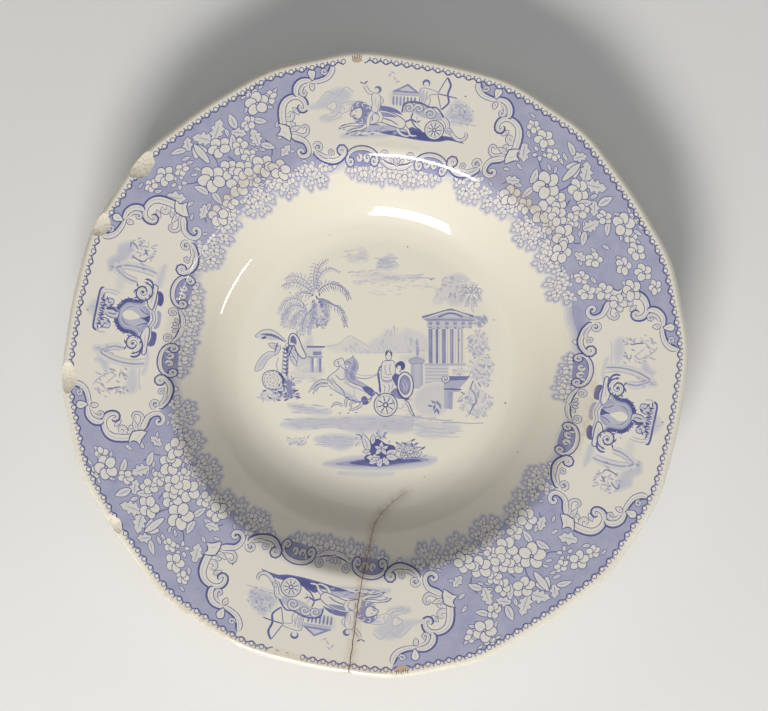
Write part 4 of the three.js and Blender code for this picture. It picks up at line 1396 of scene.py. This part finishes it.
for k in range(BEADS):
    bearing = 360 * k / BEADS
    if 92 <= bearing <= 95 or 249 < bearing < 255:
        continue
    spoke, next_spoke = np.exp(2j * math.pi * np.array([k, k + 0.5]) / BEADS)
    lay([(stroke(bead_line(k - 0.03, k + 1.03, 8), 0.5, 1), DARK)])
    lay([(oval(129.0 * next_spoke + GROUND_SHIFT, 0.7, 1.15, bearing + 1), LINE - 0.06)])
    bead = BEAD_LINE * spoke + GROUND_SHIFT
    lay([(oval(bead, 1.14, 1.1, bearing), DARK), (oval(bead, 0.82, 0.8, bearing), BARE)])
    for side in (-0.145, 0.145):
        small = 129.15 * next_spoke * np.exp(2j * math.pi * side / BEADS) + GROUND_SHIFT
        lay([(oval(small, 0.48, 0.44), BARE)])
    for side in (spoke, next_spoke):
        if hand.random() < 0.8:
            lay([(stroke((129.9 + np.array([0, 0.4, 0.9])) * side + GROUND_SHIFT, 0.4), WASH)])


# ---- The specks and stains of use -----------------------------------------------------------------
# Iron specks fired into the body show as dark brown dots, and dirt has browned the worn places of the
# border and some of the glaze's pinholes.

for x, y, size in (
    (14.2, 52.3, 0.36),
    (24.8, 37.6, 0.34),
    (57.6, -17.2, 0.42),
    (-38.1, 31.8, 0.34),
    (52.6, 19.7, 0.3),
    (37.1, 10.9, 0.38),
    (38.4, 114.2, 0.4),
    (-60.7, -84.8, 0.45),
    (21.6, -50.2, 0.26),
    (-20.4, 57.6, 0.24),
    (62.4, -38.6, 0.28),
    (-111.6, -10.4, 0.34),
    (104.6, -31.2, 0.3),
):
    lay([(oval(x + 1j * y, size, size * 0.8, hand.uniform(0, 180)), RUST)])
for bearing, spread, inner in ((93.4, 1.0, 128.4), (275.0, 1.3, 128.2)):
    way = np.exp(1j * math.radians(bearing))
    lay([(oval(way * (inner + 0.2), 1.2, spread * 2.2, bearing), TINT)])
    for off in np.linspace(-spread, spread, 6):
        reach = inner + np.array([0.6, 1.6, 2.4]) + hand.uniform(-0.4, 0.4)
        mark = np.exp(1j * math.radians(bearing + off * 0.8)) * reach
        lay([(stroke(mark, [0.3, 0.5, 0.3]), RUST - 0.12)])
lay(pen(RUST - 0.1, 0.4, -112.4, -2.6, -111.6, -1.8, -110.9, -2.4, -111.2, -3.2))


# ---- The flakes lost from the edge ---------------------------------------------------------------
# Four shell-shaped flakes have come off the upper edge at the left. They show the pale, matt body
# under the glaze, with small steps and rays running out from where each was struck.

FLAKES = (  # bearing, distance of the middle inside the edge, half-width, reach inwards, depth
    (139.5, 2.4, 7.0, 6.6, 1.7),
    (153.0, 2.6, 5.4, 4.9, 1.5),
    (182.3, 1.8, 7.0, 6.0, 1.6),
    (211.5, 1.2, 4.7, 4.4, 1.3),
)
FLAKE_BOW = 6.0


def flake_floor(flake, places):
    """The height of a flake's hollow at some places, and how far out in it each place is, to 1."""
    bearing, inset, along, reach, depth = flake
    turn = math.radians(bearing)
    spread = 1 / math.sqrt(1 - (1 - depth / FLAKE_BOW) ** 2)
    middle = (EDGE_RADIUS + float(scallop(turn)) - inset) * np.exp(1j * turn)
    across = (places[:, 0] + 1j * places[:, 1] - middle) * np.exp(-1j * turn)
    across = across.real / (reach * spread) + 1j * across.imag / (along * spread)
    round_it = np.angle(across)
    ragged = 1 + 0.035 * np.sin(5 * round_it + bearing) + 0.02 * np.sin(11 * round_it + 2 * bearing)
    out = abs(across) / ragged
    height = EDGE_TOP + FLAKE_BOW - depth - FLAKE_BOW * np.sqrt(np.clip(1 - out**2, 0, 1))
    rays = 0.1 * np.sin(9 * round_it + bearing) * np.clip(1 - 4 * (out - 0.3) ** 2 * 4, 0, 1)
    return np.where(out < 1, height + rays, 1e3), out * spread


def flake_outline(flake):
    """Where a flake's hollow breaks the surface, found by walking out from its middle."""
    turn = math.radians(flake[0])
    middle = (EDGE_RADIUS + float(scallop(turn)) - flake[1]) * np.exp(1j * turn)
    ways = np.exp(2j * math.pi * np.arange(72) / 72)
    steps = np.linspace(0.2, 14, 140)
    found = []
    for way in ways:
        walk = middle + steps * way
        walk = walk[abs(walk) < OUTER_RUN - 0.5]
        places = on_top(walk)
        inside = flake_floor(flake, places)[0] < places[:, 2]
        found.append(walk[max(0, int(np.argmin(inside)) - 1) if not inside.all() else -1])
    return np.array(found)


flake_outlines = [flake_outline(flake) for flake in FLAKES]


# ---- The crack -----------------------------------------------------------------------------------
# One crack runs from the lower edge, through the lower frame and down the wall into the well. Years
# of dirt have stained it brown, with a faint stain on each side of it.

CRACK_ROUTE = (
    -12.3, -138.5, -11.9, -135, -9.1, -115, -6.4, -96, -3.2, -81.4, -0.2, -70.1, 6.3, -62.4, 12.9, -57.4
)
crack_route = smooth(path(*CRACK_ROUTE), 1.6)
wander = np.array([hand.uniform(-1, 1) for _ in crack_route])
wander[-1] = wander[0] = wander[1] = wander[2] = 0
crack_along = np.gradient(crack_route)
crack_route = crack_route + 1j * crack_along / abs(crack_along) * 0.12 * wander
crack_half = np.linspace(0.2, 0.06, len(crack_route))
CRACK_DEPTH = 0.4
crack_sides = [crack_route + 1j * crack_along / abs(crack_along) * crack_half * side for side in (-1, 0, 1)]


def crack_lines(outer_run):
    """The crack's two sides and its middle, ending on a disc's outer ring at the same bearings."""
    lines = []
    for side in crack_sides:
        kept = side[abs(side) < min(outer_run, 130.0) - 0.4]
        ring = outer_run * np.exp(1j * crack_bearing(side))
        lines.append(np.concatenate([[ring], kept]))
    return lines


def crack_bearing(side):
    """The bearing at which one side of the crack passes under the lip."""
    return np.angle(side[abs(side) < OUTER_RUN][0])


# ---- The plate's mesh ----------------------------------------------------------------------------
# The flat drawing is cut into triangles along every outline, and each triangle takes the tone of the
# topmost shape over it, so the print is sharp at any distance. Then it is bent into the plate's form.
# No bmesh operator cuts a surface along thousands of crossing outlines, which is why it is done here.


def rings(*zones):
    """Rings of points. Each zone gives its inner and outer radius and the steps outwards and round."""
    found = []
    for inner, outer, out_step, round_step in zones:
        steps = max(1, round((outer - inner) / out_step))
        for k, radius in enumerate(np.linspace(inner, outer, steps, endpoint=False)):
            count = max(6, round(2 * math.pi * radius / round_step))
            found.append(radius * np.exp(2j * math.pi * (np.arange(count) + 0.5 * (k % 2)) / count))
    return np.concatenate(found)


def inside(outline, points):
    """Which points a closed outline goes round, whichever way and however often."""
    turns = np.zeros(len(points), int)
    a, b = outline[None], np.roll(outline, -1)[None]
    for part in range(0, len(points), 4000):
        p = points[part : part + 4000, None]
        left = (b.real - a.real) * (p.imag - a.imag) - (p.real - a.real) * (b.imag - a.imag)
        rising = (a.imag <= p.imag) & (b.imag > p.imag) & (left > 0)
        falling = (a.imag > p.imag) & (b.imag <= p.imag) & (left < 0)
        turns[part : part + 4000] = rising.sum(1) - falling.sum(1)
    return turns != 0


def painted(shapes, points):
    """The tone at each point, from shapes laid in order."""
    tones = np.full(len(points), BARE)
    order = np.argsort(points.real)
    across = points.real[order]
    for outline, tone in shapes:
        low, high = np.searchsorted(across, (outline.real.min(), outline.real.max()))
        near = order[low:high]
        near = near[(points.imag[near] > outline.imag.min()) & (points.imag[near] < outline.imag.max())]
        tones[near[inside(outline, points[near])]] = tone
    return tones


def cut_along(points, edges):
    """A flat mesh of triangles with an edge along every line, and the patch each triangle is in."""
    cut = delaunay_2d_cdt([Vector((p.real, p.imag)) for p in points], edges, [], 0, 0.004, True)
    flat = np.array([complex(v.x, v.y) for v in cut[0]])
    triangles = np.array(cut[2])
    walls = {tuple(sorted(edge)) for edge, lines in zip(cut[1], cut[4]) if lines}
    patch = list(range(len(triangles)))

    def head(k):
        while patch[k] != k:
            patch[k] = patch[patch[k]]
            k = patch[k]
        return k

    across = {}
    for k, (a, b, c) in enumerate(triangles.tolist()):
        for edge in ((a, b), (b, c), (c, a)):
            edge = (min(edge), max(edge))
            if edge in walls:
                continue
            if edge in across:
                patch[head(k)] = head(across[edge])
            else:
                across[edge] = k
    return flat, triangles, np.array([head(k) for k in range(len(triangles))])


def lines_that_show(flat, triangles, marks):
    """Edges between triangles whose marks differ, without the points that lie on a straight run."""
    meet = {}
    for k, (a, b, c) in enumerate(triangles.tolist()):
        for edge in ((a, b), (b, c), (c, a)):
            meet.setdefault((min(edge), max(edge)), []).append(k)
    beside = {}
    for (a, b), owners in meet.items():
        if len(owners) == 2 and marks[owners[0]] != marks[owners[1]]:
            beside.setdefault(a, []).append(b)
            beside.setdefault(b, []).append(a)
    at = flat.tolist()
    for slack in (0.015, 0.034, 0.058):
        for v, ends in list(beside.items()):
            if len(ends) != 2 or ends[1] in beside[ends[0]]:
                continue
            a, b = ends
            chord = at[b] - at[a]
            if abs(chord) < 3 and abs(((at[v] - at[a]) * chord.conjugate()).imag) < slack * abs(chord):
                beside[a][beside[a].index(v)] = b
                beside[b][beside[b].index(v)] = a
                del beside[v]
    number = {v: k for k, v in enumerate(beside)}
    edges = [(number[a], number[b]) for a, ends in beside.items() for b in ends if a < b]
    return flat[list(beside)], edges


def chains(lines):
    """The edges along some closed outlines, numbered from the first point of the first."""
    edges = []
    count = 0
    for line in lines:
        numbers = list(range(count, count + len(line)))
        edges += list(zip(numbers, numbers[1:] + numbers[:1]))
        count += len(line)
    return edges


def shifted(edges, by):
    return [(a + by, b + by) for a, b in edges]


def marks_of(flat, triangles, patch, shapes, bare_lines, crack_band):
    """What each triangle carries: its tone, and whether it is broken or cracked. The middle of the
    largest triangle speaks for its whole patch, so thin slivers can't be mistaken."""
    corner = flat[triangles]
    size = abs(((corner[:, 1] - corner[:, 0]) * (corner[:, 2] - corner[:, 0]).conj()).imag)
    order = np.argsort(size)
    largest = np.zeros(len(triangles), int)
    largest[patch[order]] = order
    speakers = np.unique(largest[patch])
    middles = corner[speakers].mean(1)
    carried = np.zeros((len(triangles), 3))
    carried[speakers, 0] = painted(shapes, middles)
    for outline in bare_lines:
        carried[speakers, 1] = np.maximum(carried[speakers, 1], inside(outline, middles))
    carried[speakers, 2] = inside(crack_band, middles)
    carried[carried[:, 1] > 0, 0] = BARE
    return carried[largest[patch]]


def beside_crack(points, wide):
    """How close points are to the crack, from 1 on it to 0 at the given distance."""
    close = np.full(len(points), 1e9)
    for place in smooth(crack_route, 0.7):
        close = np.minimum(close, abs(points - place))
    return np.clip(1 - close / wide, 0, 1)


def rubbed_dirt(points):
    """Thin dirt in the glaze along the shoulder: patches as bearing, half-width, radius and half-width."""
    bearing = np.degrees(np.angle(points))
    found = np.zeros(len(points))
    for middle, spread, radius, depth, strength in (
        (-13, 15, 93.6, 3.0, 0.9),
        (47, 17, 94.8, 3.4, 0.55),
        (126, 16, 95.4, 3.0, 0.45),
        (84, 18, 94.6, 1.8, 0.35),
        (-100, 30, 129.6, 2.6, 0.6),
        (-125, 16, 131.6, 2.4, 0.9),
        (108, 12, 131.6, 2.0, 0.8),
        (150, 40, 132.4, 2.0, 0.55),
        (-60, 40, 132.4, 2.0, 0.45),
    ):
        away = np.hypot((bearing - middle) / spread, (abs(points) - radius) / depth)
        found = np.maximum(found, strength * np.clip(1 - away**2, 0, 1))
    return found


def side_of_plate(surface, outer_run, shapes, guide, bare_lines, outwards=1):
    """One side of the plate: its places, facings, triangles and what each of them carries."""
    crack_sides = crack_lines(outer_run)
    crack_band = np.concatenate([crack_sides[0], crack_sides[2][::-1]])
    turns = np.arange(520) / 520 * 2 * math.pi - math.pi
    bearings = np.angle([side[0] for side in crack_sides])
    turns = turns[abs(turns - bearings[1]) > 0.008]
    ring = outer_run * np.exp(1j * np.sort(np.concatenate([turns, bearings])))
    # The first cut is only along the print's outlines; the second is along what shows of them.
    outlines = [ring, crack_band] + [s[0] for s in shapes] + bare_lines
    flat, triangles, patch = cut_along(np.concatenate(outlines), chains(outlines))
    marks = marks_of(flat, triangles, patch, shapes, bare_lines, crack_band)
    shown, edges = lines_that_show(flat, triangles, marks @ (1, 10, 100))
    closed = [ring, crack_band]
    middle = crack_sides[1]
    beside = [middle[2:] + nudge for nudge in (0.9, -0.9, 2.0, -2.0, 3.4, -3.4)]
    edges = chains(closed) + shifted(edges, len(ring) + len(crack_band))
    start = len(ring) + len(crack_band) + len(shown)
    edges += shifted(list(zip(range(len(middle) - 1), range(1, len(middle)))), start)
    points = np.concatenate(closed + [shown, middle, guide[abs(guide) < outer_run - 0.4]] + beside)
    flat, triangles, patch = cut_along(points, edges)
    marks = marks_of(flat, triangles, patch, shapes, bare_lines, crack_band)
    places = surface(flat)
    normals = facing(surface, flat)
    # The crack's middle is sunk, except round the lip, where it is a hair line.
    sunk = np.zeros(len(flat))
    for place in middle[2:-1]:
        sunk[np.argmin(abs(flat - place))] = CRACK_DEPTH
    places = places - outwards * normals * sunk[:, None]
    for flake in FLAKES:
        floor_height, _ = flake_floor(flake, places)
        upper = places[:, 2] > LIP_CENTRE[1]
        places[:, 2] = np.where(upper, np.minimum(places[:, 2], floor_height), places[:, 2])
    return {
        "flat": flat,
        "places": places,
        "normals": normals,
        "triangles": triangles,
        "ink": marks[:, 0],
        "break": marks[:, 1],
        "crack": marks[:, 2],
        "stain": np.maximum(beside_crack(flat, 3.6), rubbed_dirt(flat) if outwards > 0 else 0),
    }


guide = rings(
    (1, 52, 6, 6),
    (52, 75, 1.6, 3.2),
    (75, 87.5, 2.1, 3.2),
    (87.5, 93.6, 0.75, 2.6),
    (93.6, LIP_RUN, 3.4, 3.4),
    (LIP_RUN, OUTER_RUN, 0.72, 2.2),
)
for flake, outline in zip(FLAKES, flake_outlines):
    near = rings((0.5, 12, 0.7, 0.7)) + (EDGE_RADIUS - flake[1]) * np.exp(1j * math.radians(flake[0]))
    guide = np.concatenate([guide, near[inside(grown(outline, -0.3), near)]])
top = side_of_plate(on_top, OUTER_RUN, printed, guide, flake_outlines)
foot = [(radius, radius + 0.1, 1, 2.8) for radius in (62.5, 64.3, 64.7, 66, 67.2, 67.6, 68.5)]
under_guide = rings((1, 61, 7, 7), *foot, (70, 88, 2.6, 4), (88, 93.6, 1.4, 3.6), (93.6, 130.4, 3.8, 3.8))
underside = side_of_plate(on_underside, under_section[-1, 0], [], under_guide, [], -1)

# Both sides in one mesh, the underside turned to face down, joined under the lip.
plate_mesh = bpy.data.meshes.new("plate_body")
count = len(top["places"])
places = np.concatenate([top["places"], underside["places"]]) * MM
triangles = np.concatenate([top["triangles"], underside["triangles"][:, ::-1] + count])
plate_mesh.from_pydata(places.tolist(), [], triangles.tolist())
for name in ("ink", "break", "crack"):
    values = np.concatenate([top[name], underside[name]])
    plate_mesh.attributes.new(name, "FLOAT", "FACE").data.foreach_set("value", values)
plate_mesh.attributes.new("stain", "FLOAT", "POINT").data.foreach_set(
    "value", np.concatenate([top["stain"], underside["stain"]])
)
facings = np.concatenate([top["normals"], -underside["normals"]])
plate_mesh.attributes.new("facing", "FLOAT_VECTOR", "POINT").data.foreach_set("vector", facings.ravel())
# A map for the top and a small one for the underside, side by side.
spread = np.concatenate(
    [
        0.43 + 0.43j + top["flat"] / OUTER_RUN * 0.42,
        0.845 + 0.845j + underside["flat"] / under_section[-1, 0] * 0.15,
    ]
)
corners = np.zeros(len(plate_mesh.loops), int)
plate_mesh.loops.foreach_get("vertex_index", corners)
spread = spread[corners]
plate_map = plate_mesh.uv_layers.new(name="OFBake")
plate_map.data.foreach_set("uv", np.column_stack([spread.real, spread.imag]).ravel())

shape = bmesh.new()
shape.from_mesh(plate_mesh)
on_edge = [v for v in shape.verts if any(e.is_boundary for e in v.link_edges)]
bmesh.ops.remove_doubles(shape, verts=on_edge, dist=0.02 * MM)
carried = [shape.faces.layers.float[name] for name in ("break", "crack")]
for face in shape.faces:
    face.smooth = True
for edge in shape.edges:
    one, other = edge.link_faces[0], edge.link_faces[-1]
    edge.smooth = all(one[layer] == other[layer] for layer in carried)
shape.to_mesh(plate_mesh)
shape.free()

# The glazed faces are shaded from the form itself, so the print's edges don't ripple the gloss.
corners = np.zeros(len(plate_mesh.loops), int)
plate_mesh.loops.foreach_get("vertex_index", corners)
facings = np.zeros(len(plate_mesh.vertices) * 3)
plate_mesh.attributes["facing"].data.foreach_get("vector", facings)
facings = facings.reshape(-1, 3)[corners]
rough_faces = np.zeros(len(plate_mesh.polygons))
for name in ("break", "crack"):
    values = np.zeros(len(plate_mesh.polygons))
    plate_mesh.attributes[name].data.foreach_get("value", values)
    rough_faces += values
facings[np.repeat(rough_faces > 0, 3)] = 0
plate_mesh.normals_split_custom_set(facings.tolist())
plate_mesh.attributes.remove(plate_mesh.attributes["facing"])

plate = bpy.data.objects.new("soup_plate", plate_mesh)
bpy.context.scene.collection.objects.link(plate)
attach(plate, "root")
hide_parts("plate")


# ---- The glazed and printed finish ---------------------------------------------------------------
# A cream-white body under a clear lead glaze, with the print in cobalt blue between them. The ink has
# bled a little and lies unevenly. The flakes show the matt body, and dirt has browned the crack.


class Paint:
    """A value or a colour in a material's nodes, for writing its sums as Python."""

    def __init__(self, tree, socket):
        self.tree = tree
        self.socket = socket

    def node(self, kind, settings=None, **inputs):
        """Adds a node with its settings first and then its inputs, and gives its first output."""
        added = self.tree.nodes.new(kind)
        for name, value in (settings or {}).items():
            if name == "stops":
                ramp = added.color_ramp.elements
                while len(ramp) < len(value):
                    ramp.new(0.5)
                for stop, (place, colour) in zip(ramp, value):
                    stop.position = place
                    stop.color = (*colour, 1)
            else:
                setattr(added, name, value)
        for name, value in inputs.items():
            put = added.inputs[int(name[1:])] if name[0] == "i" and name[1:].isdigit() else added.inputs[name]
            if isinstance(value, Paint):
                self.tree.links.new(value.socket, put)
            else:
                put.default_value = value
        return Paint(self.tree, next(o for o in added.outputs if o.enabled))

    def sum(self, operation, *values, clamp=False):
        inputs = {f"i{k}": v for k, v in enumerate(values)}
        return self.node("ShaderNodeMath", {"operation": operation, "use_clamp": clamp}, **inputs)

    def __add__(self, other):
        return self.sum("ADD", self, other)

    def __sub__(self, other):
        return self.sum("SUBTRACT", self, other)

    def __rsub__(self, other):
        return self.sum("SUBTRACT", other, self)

    def __mul__(self, other):
        return self.sum("MULTIPLY", self, other)

    __radd__ = __add__
    __rmul__ = __mul__

    def from_to(self, low, high):
        """Runs from 0 to 1 as the value goes from low to high."""
        return self.node("ShaderNodeMapRange", {"clamp": True}, Value=self, i1=low, i2=high)

    def mixed(self, one, other):
        """A colour between two, by this value."""
        return self.node("ShaderNodeMix", {"data_type": "RGBA"}, i0=self, i6=one, i7=other)


finish = bpy.data.materials.new("printed_earthenware")
finish.use_nodes = True
tree = finish.node_tree
shader = tree.nodes["Principled BSDF"]
start = Paint(tree, None)
place = start.node("ShaderNodeTexCoord")
place = Paint(tree, place.socket.node.outputs["Object"])


def speckle(scale, detail=3.0, roughness=0.55):
    """Cloudy noise over the plate, about 0 to 1, with its scale in clouds a metre."""
    return start.node(
        "ShaderNodeTexNoise", None, Vector=place, Scale=scale, Detail=detail, Roughness=roughness
    )


def carried_by(name):
    found = start.node("ShaderNodeAttribute", {"attribute_name": name})
    return Paint(tree, found.socket.node.outputs["Fac"])


ink = carried_by("ink")
height = Paint(tree, start.node("ShaderNodeSeparateXYZ", None, Vector=place).socket.node.outputs["Z"])
foot_worn = height.from_to(0.0005, 0.0001)
bare = start.sum("MAXIMUM", carried_by("break"), foot_worn)
crack = carried_by("crack")
stain = carried_by("stain")
fine = speckle(1500.0, 2.0)
broad = speckle(140.0, 3.0)
uneven = ink * ((fine - 0.5) * 0.36 + (broad - 0.5) * 0.5 + 1.0)
printed_colour = uneven.node(
    "ShaderNodeValToRGB",
    {
        "stops": (
            (0.0, (0.80, 0.757, 0.645)),
            (0.2, (0.60, 0.59, 0.62)),
            (0.5, (0.38, 0.385, 0.53)),
            (0.72, (0.18, 0.19, 0.40)),
            (0.86, (0.10, 0.11, 0.31)),
            (1.0, (0.06, 0.065, 0.25)),
        )
    },
    Fac=uneven,
)
cloudy = speckle(420.0, 4.0)
stained = stain * (cloudy.from_to(0.3, 0.72) * 0.55 + 0.12)
glazed_colour = stained.mixed(printed_colour, (0.40, 0.27, 0.155, 1))
rusty = ink.from_to(TINT, RUST).mixed((0.52, 0.38, 0.27, 1), (0.10, 0.045, 0.025, 1))
glazed_colour = ink.sum("GREATER_THAN", ink, 1.3).mixed(glazed_colour, rusty)
body_colour = speckle(900.0).node(
    "ShaderNodeValToRGB",
    {"stops": ((0.3, (0.62, 0.54, 0.42)), (0.5, (0.77, 0.71, 0.60)), (0.7, (0.86, 0.81, 0.71)))},
    Fac=speckle(1100.0),
)
colour = crack.mixed(bare.mixed(glazed_colour, body_colour), (0.09, 0.045, 0.025, 1))
roughness = bare * 0.35 + 0.45
coat = 1 - bare.sum("MAXIMUM", bare, crack)
ripple = start.node(
    "ShaderNodeBump",
    None,
    Strength=0.06,
    Distance=0.0006,
    Height=speckle(120.0, 2.0),
)
for socket, value in (
    ("Base Color", colour),
    ("Roughness", roughness),
    ("Coat Weight", coat),
    ("Normal", ripple),
):
    tree.links.new(value.socket, shader.inputs[socket])
shader.inputs["Coat Roughness"].default_value = 0.05
shader.inputs["Coat IOR"].default_value = 1.52
shader.inputs["Specular IOR Level"].default_value = 0.3
plate_mesh.materials.append(finish)


# ---- The floor, the light and the camera ---------------------------------------------------------
# A plain pale floor, one soft window-like light on the near side, a weak gap of light at the right
# that streaks the well, and a broad weak ceiling. The camera looks straight down.

floor_mesh = bpy.data.meshes.new("studio_floor")
shape = bmesh.new()
bmesh.ops.create_grid(shape, x_segments=1, y_segments=1, size=3.0)
shape.to_mesh(floor_mesh)
shape.free()
studio_floor = bpy.data.objects.new("studio_floor", floor_mesh)
bpy.context.scene.collection.objects.link(studio_floor)
floor_finish = bpy.data.materials.new("studio_floor")
floor_finish.use_nodes = True
floor_finish.node_tree.nodes["Principled BSDF"].inputs["Base Color"].default_value = (0.8, 0.8, 0.79, 1)
floor_finish.node_tree.nodes["Principled BSDF"].inputs["Roughness"].default_value = 0.8
floor_mesh.materials.append(floor_finish)


def soft_light(name, at, towards, size, power, colour=(1, 1, 1)):
    lamp = bpy.data.lights.new(name, "AREA")
    lamp.shape = "RECTANGLE"
    lamp.size, lamp.size_y = size
    lamp.energy = power
    lamp.color = colour
    hung = bpy.data.objects.new(name, lamp)
    bpy.context.scene.collection.objects.link(hung)
    hung.location = at
    hung.rotation_euler = (Vector(at) - Vector(towards)).to_track_quat("Z", "Y").to_euler()


soft_light("window", (-0.337, -1.351, 1.03), (0, 0, 0.03), (0.72, 0.45), 27, (1.0, 0.975, 0.93))
soft_light("low_gap", (1.24, -0.71, 0.5), (0, 0, 0.03), (0.56, 0.09), 2, (1, 1, 1))
soft_light("ceiling", (0.1, 0.3, 2.4), (0, 0, 0), (2.6, 2.6), 12.5, (0.95, 0.97, 1.0))
sky = bpy.data.worlds.new("studio")
sky.use_nodes = True
sky.node_tree.nodes["Background"].inputs["Color"].default_value = (1, 1, 1, 1)
sky.node_tree.nodes["Background"].inputs["Strength"].default_value = 0.15
bpy.context.scene.world = sky

view = bpy.data.cameras.new("camera")
view.sensor_width = 36
view.lens = 68.65
view.clip_start = 0.01
camera = bpy.data.objects.new("camera", view)
bpy.context.scene.collection.objects.link(camera)
camera.location = (0.0037, 0.0039, 0.658)
bpy.context.scene.camera = camera
bpy.context.scene.view_settings.view_transform = "Standard"
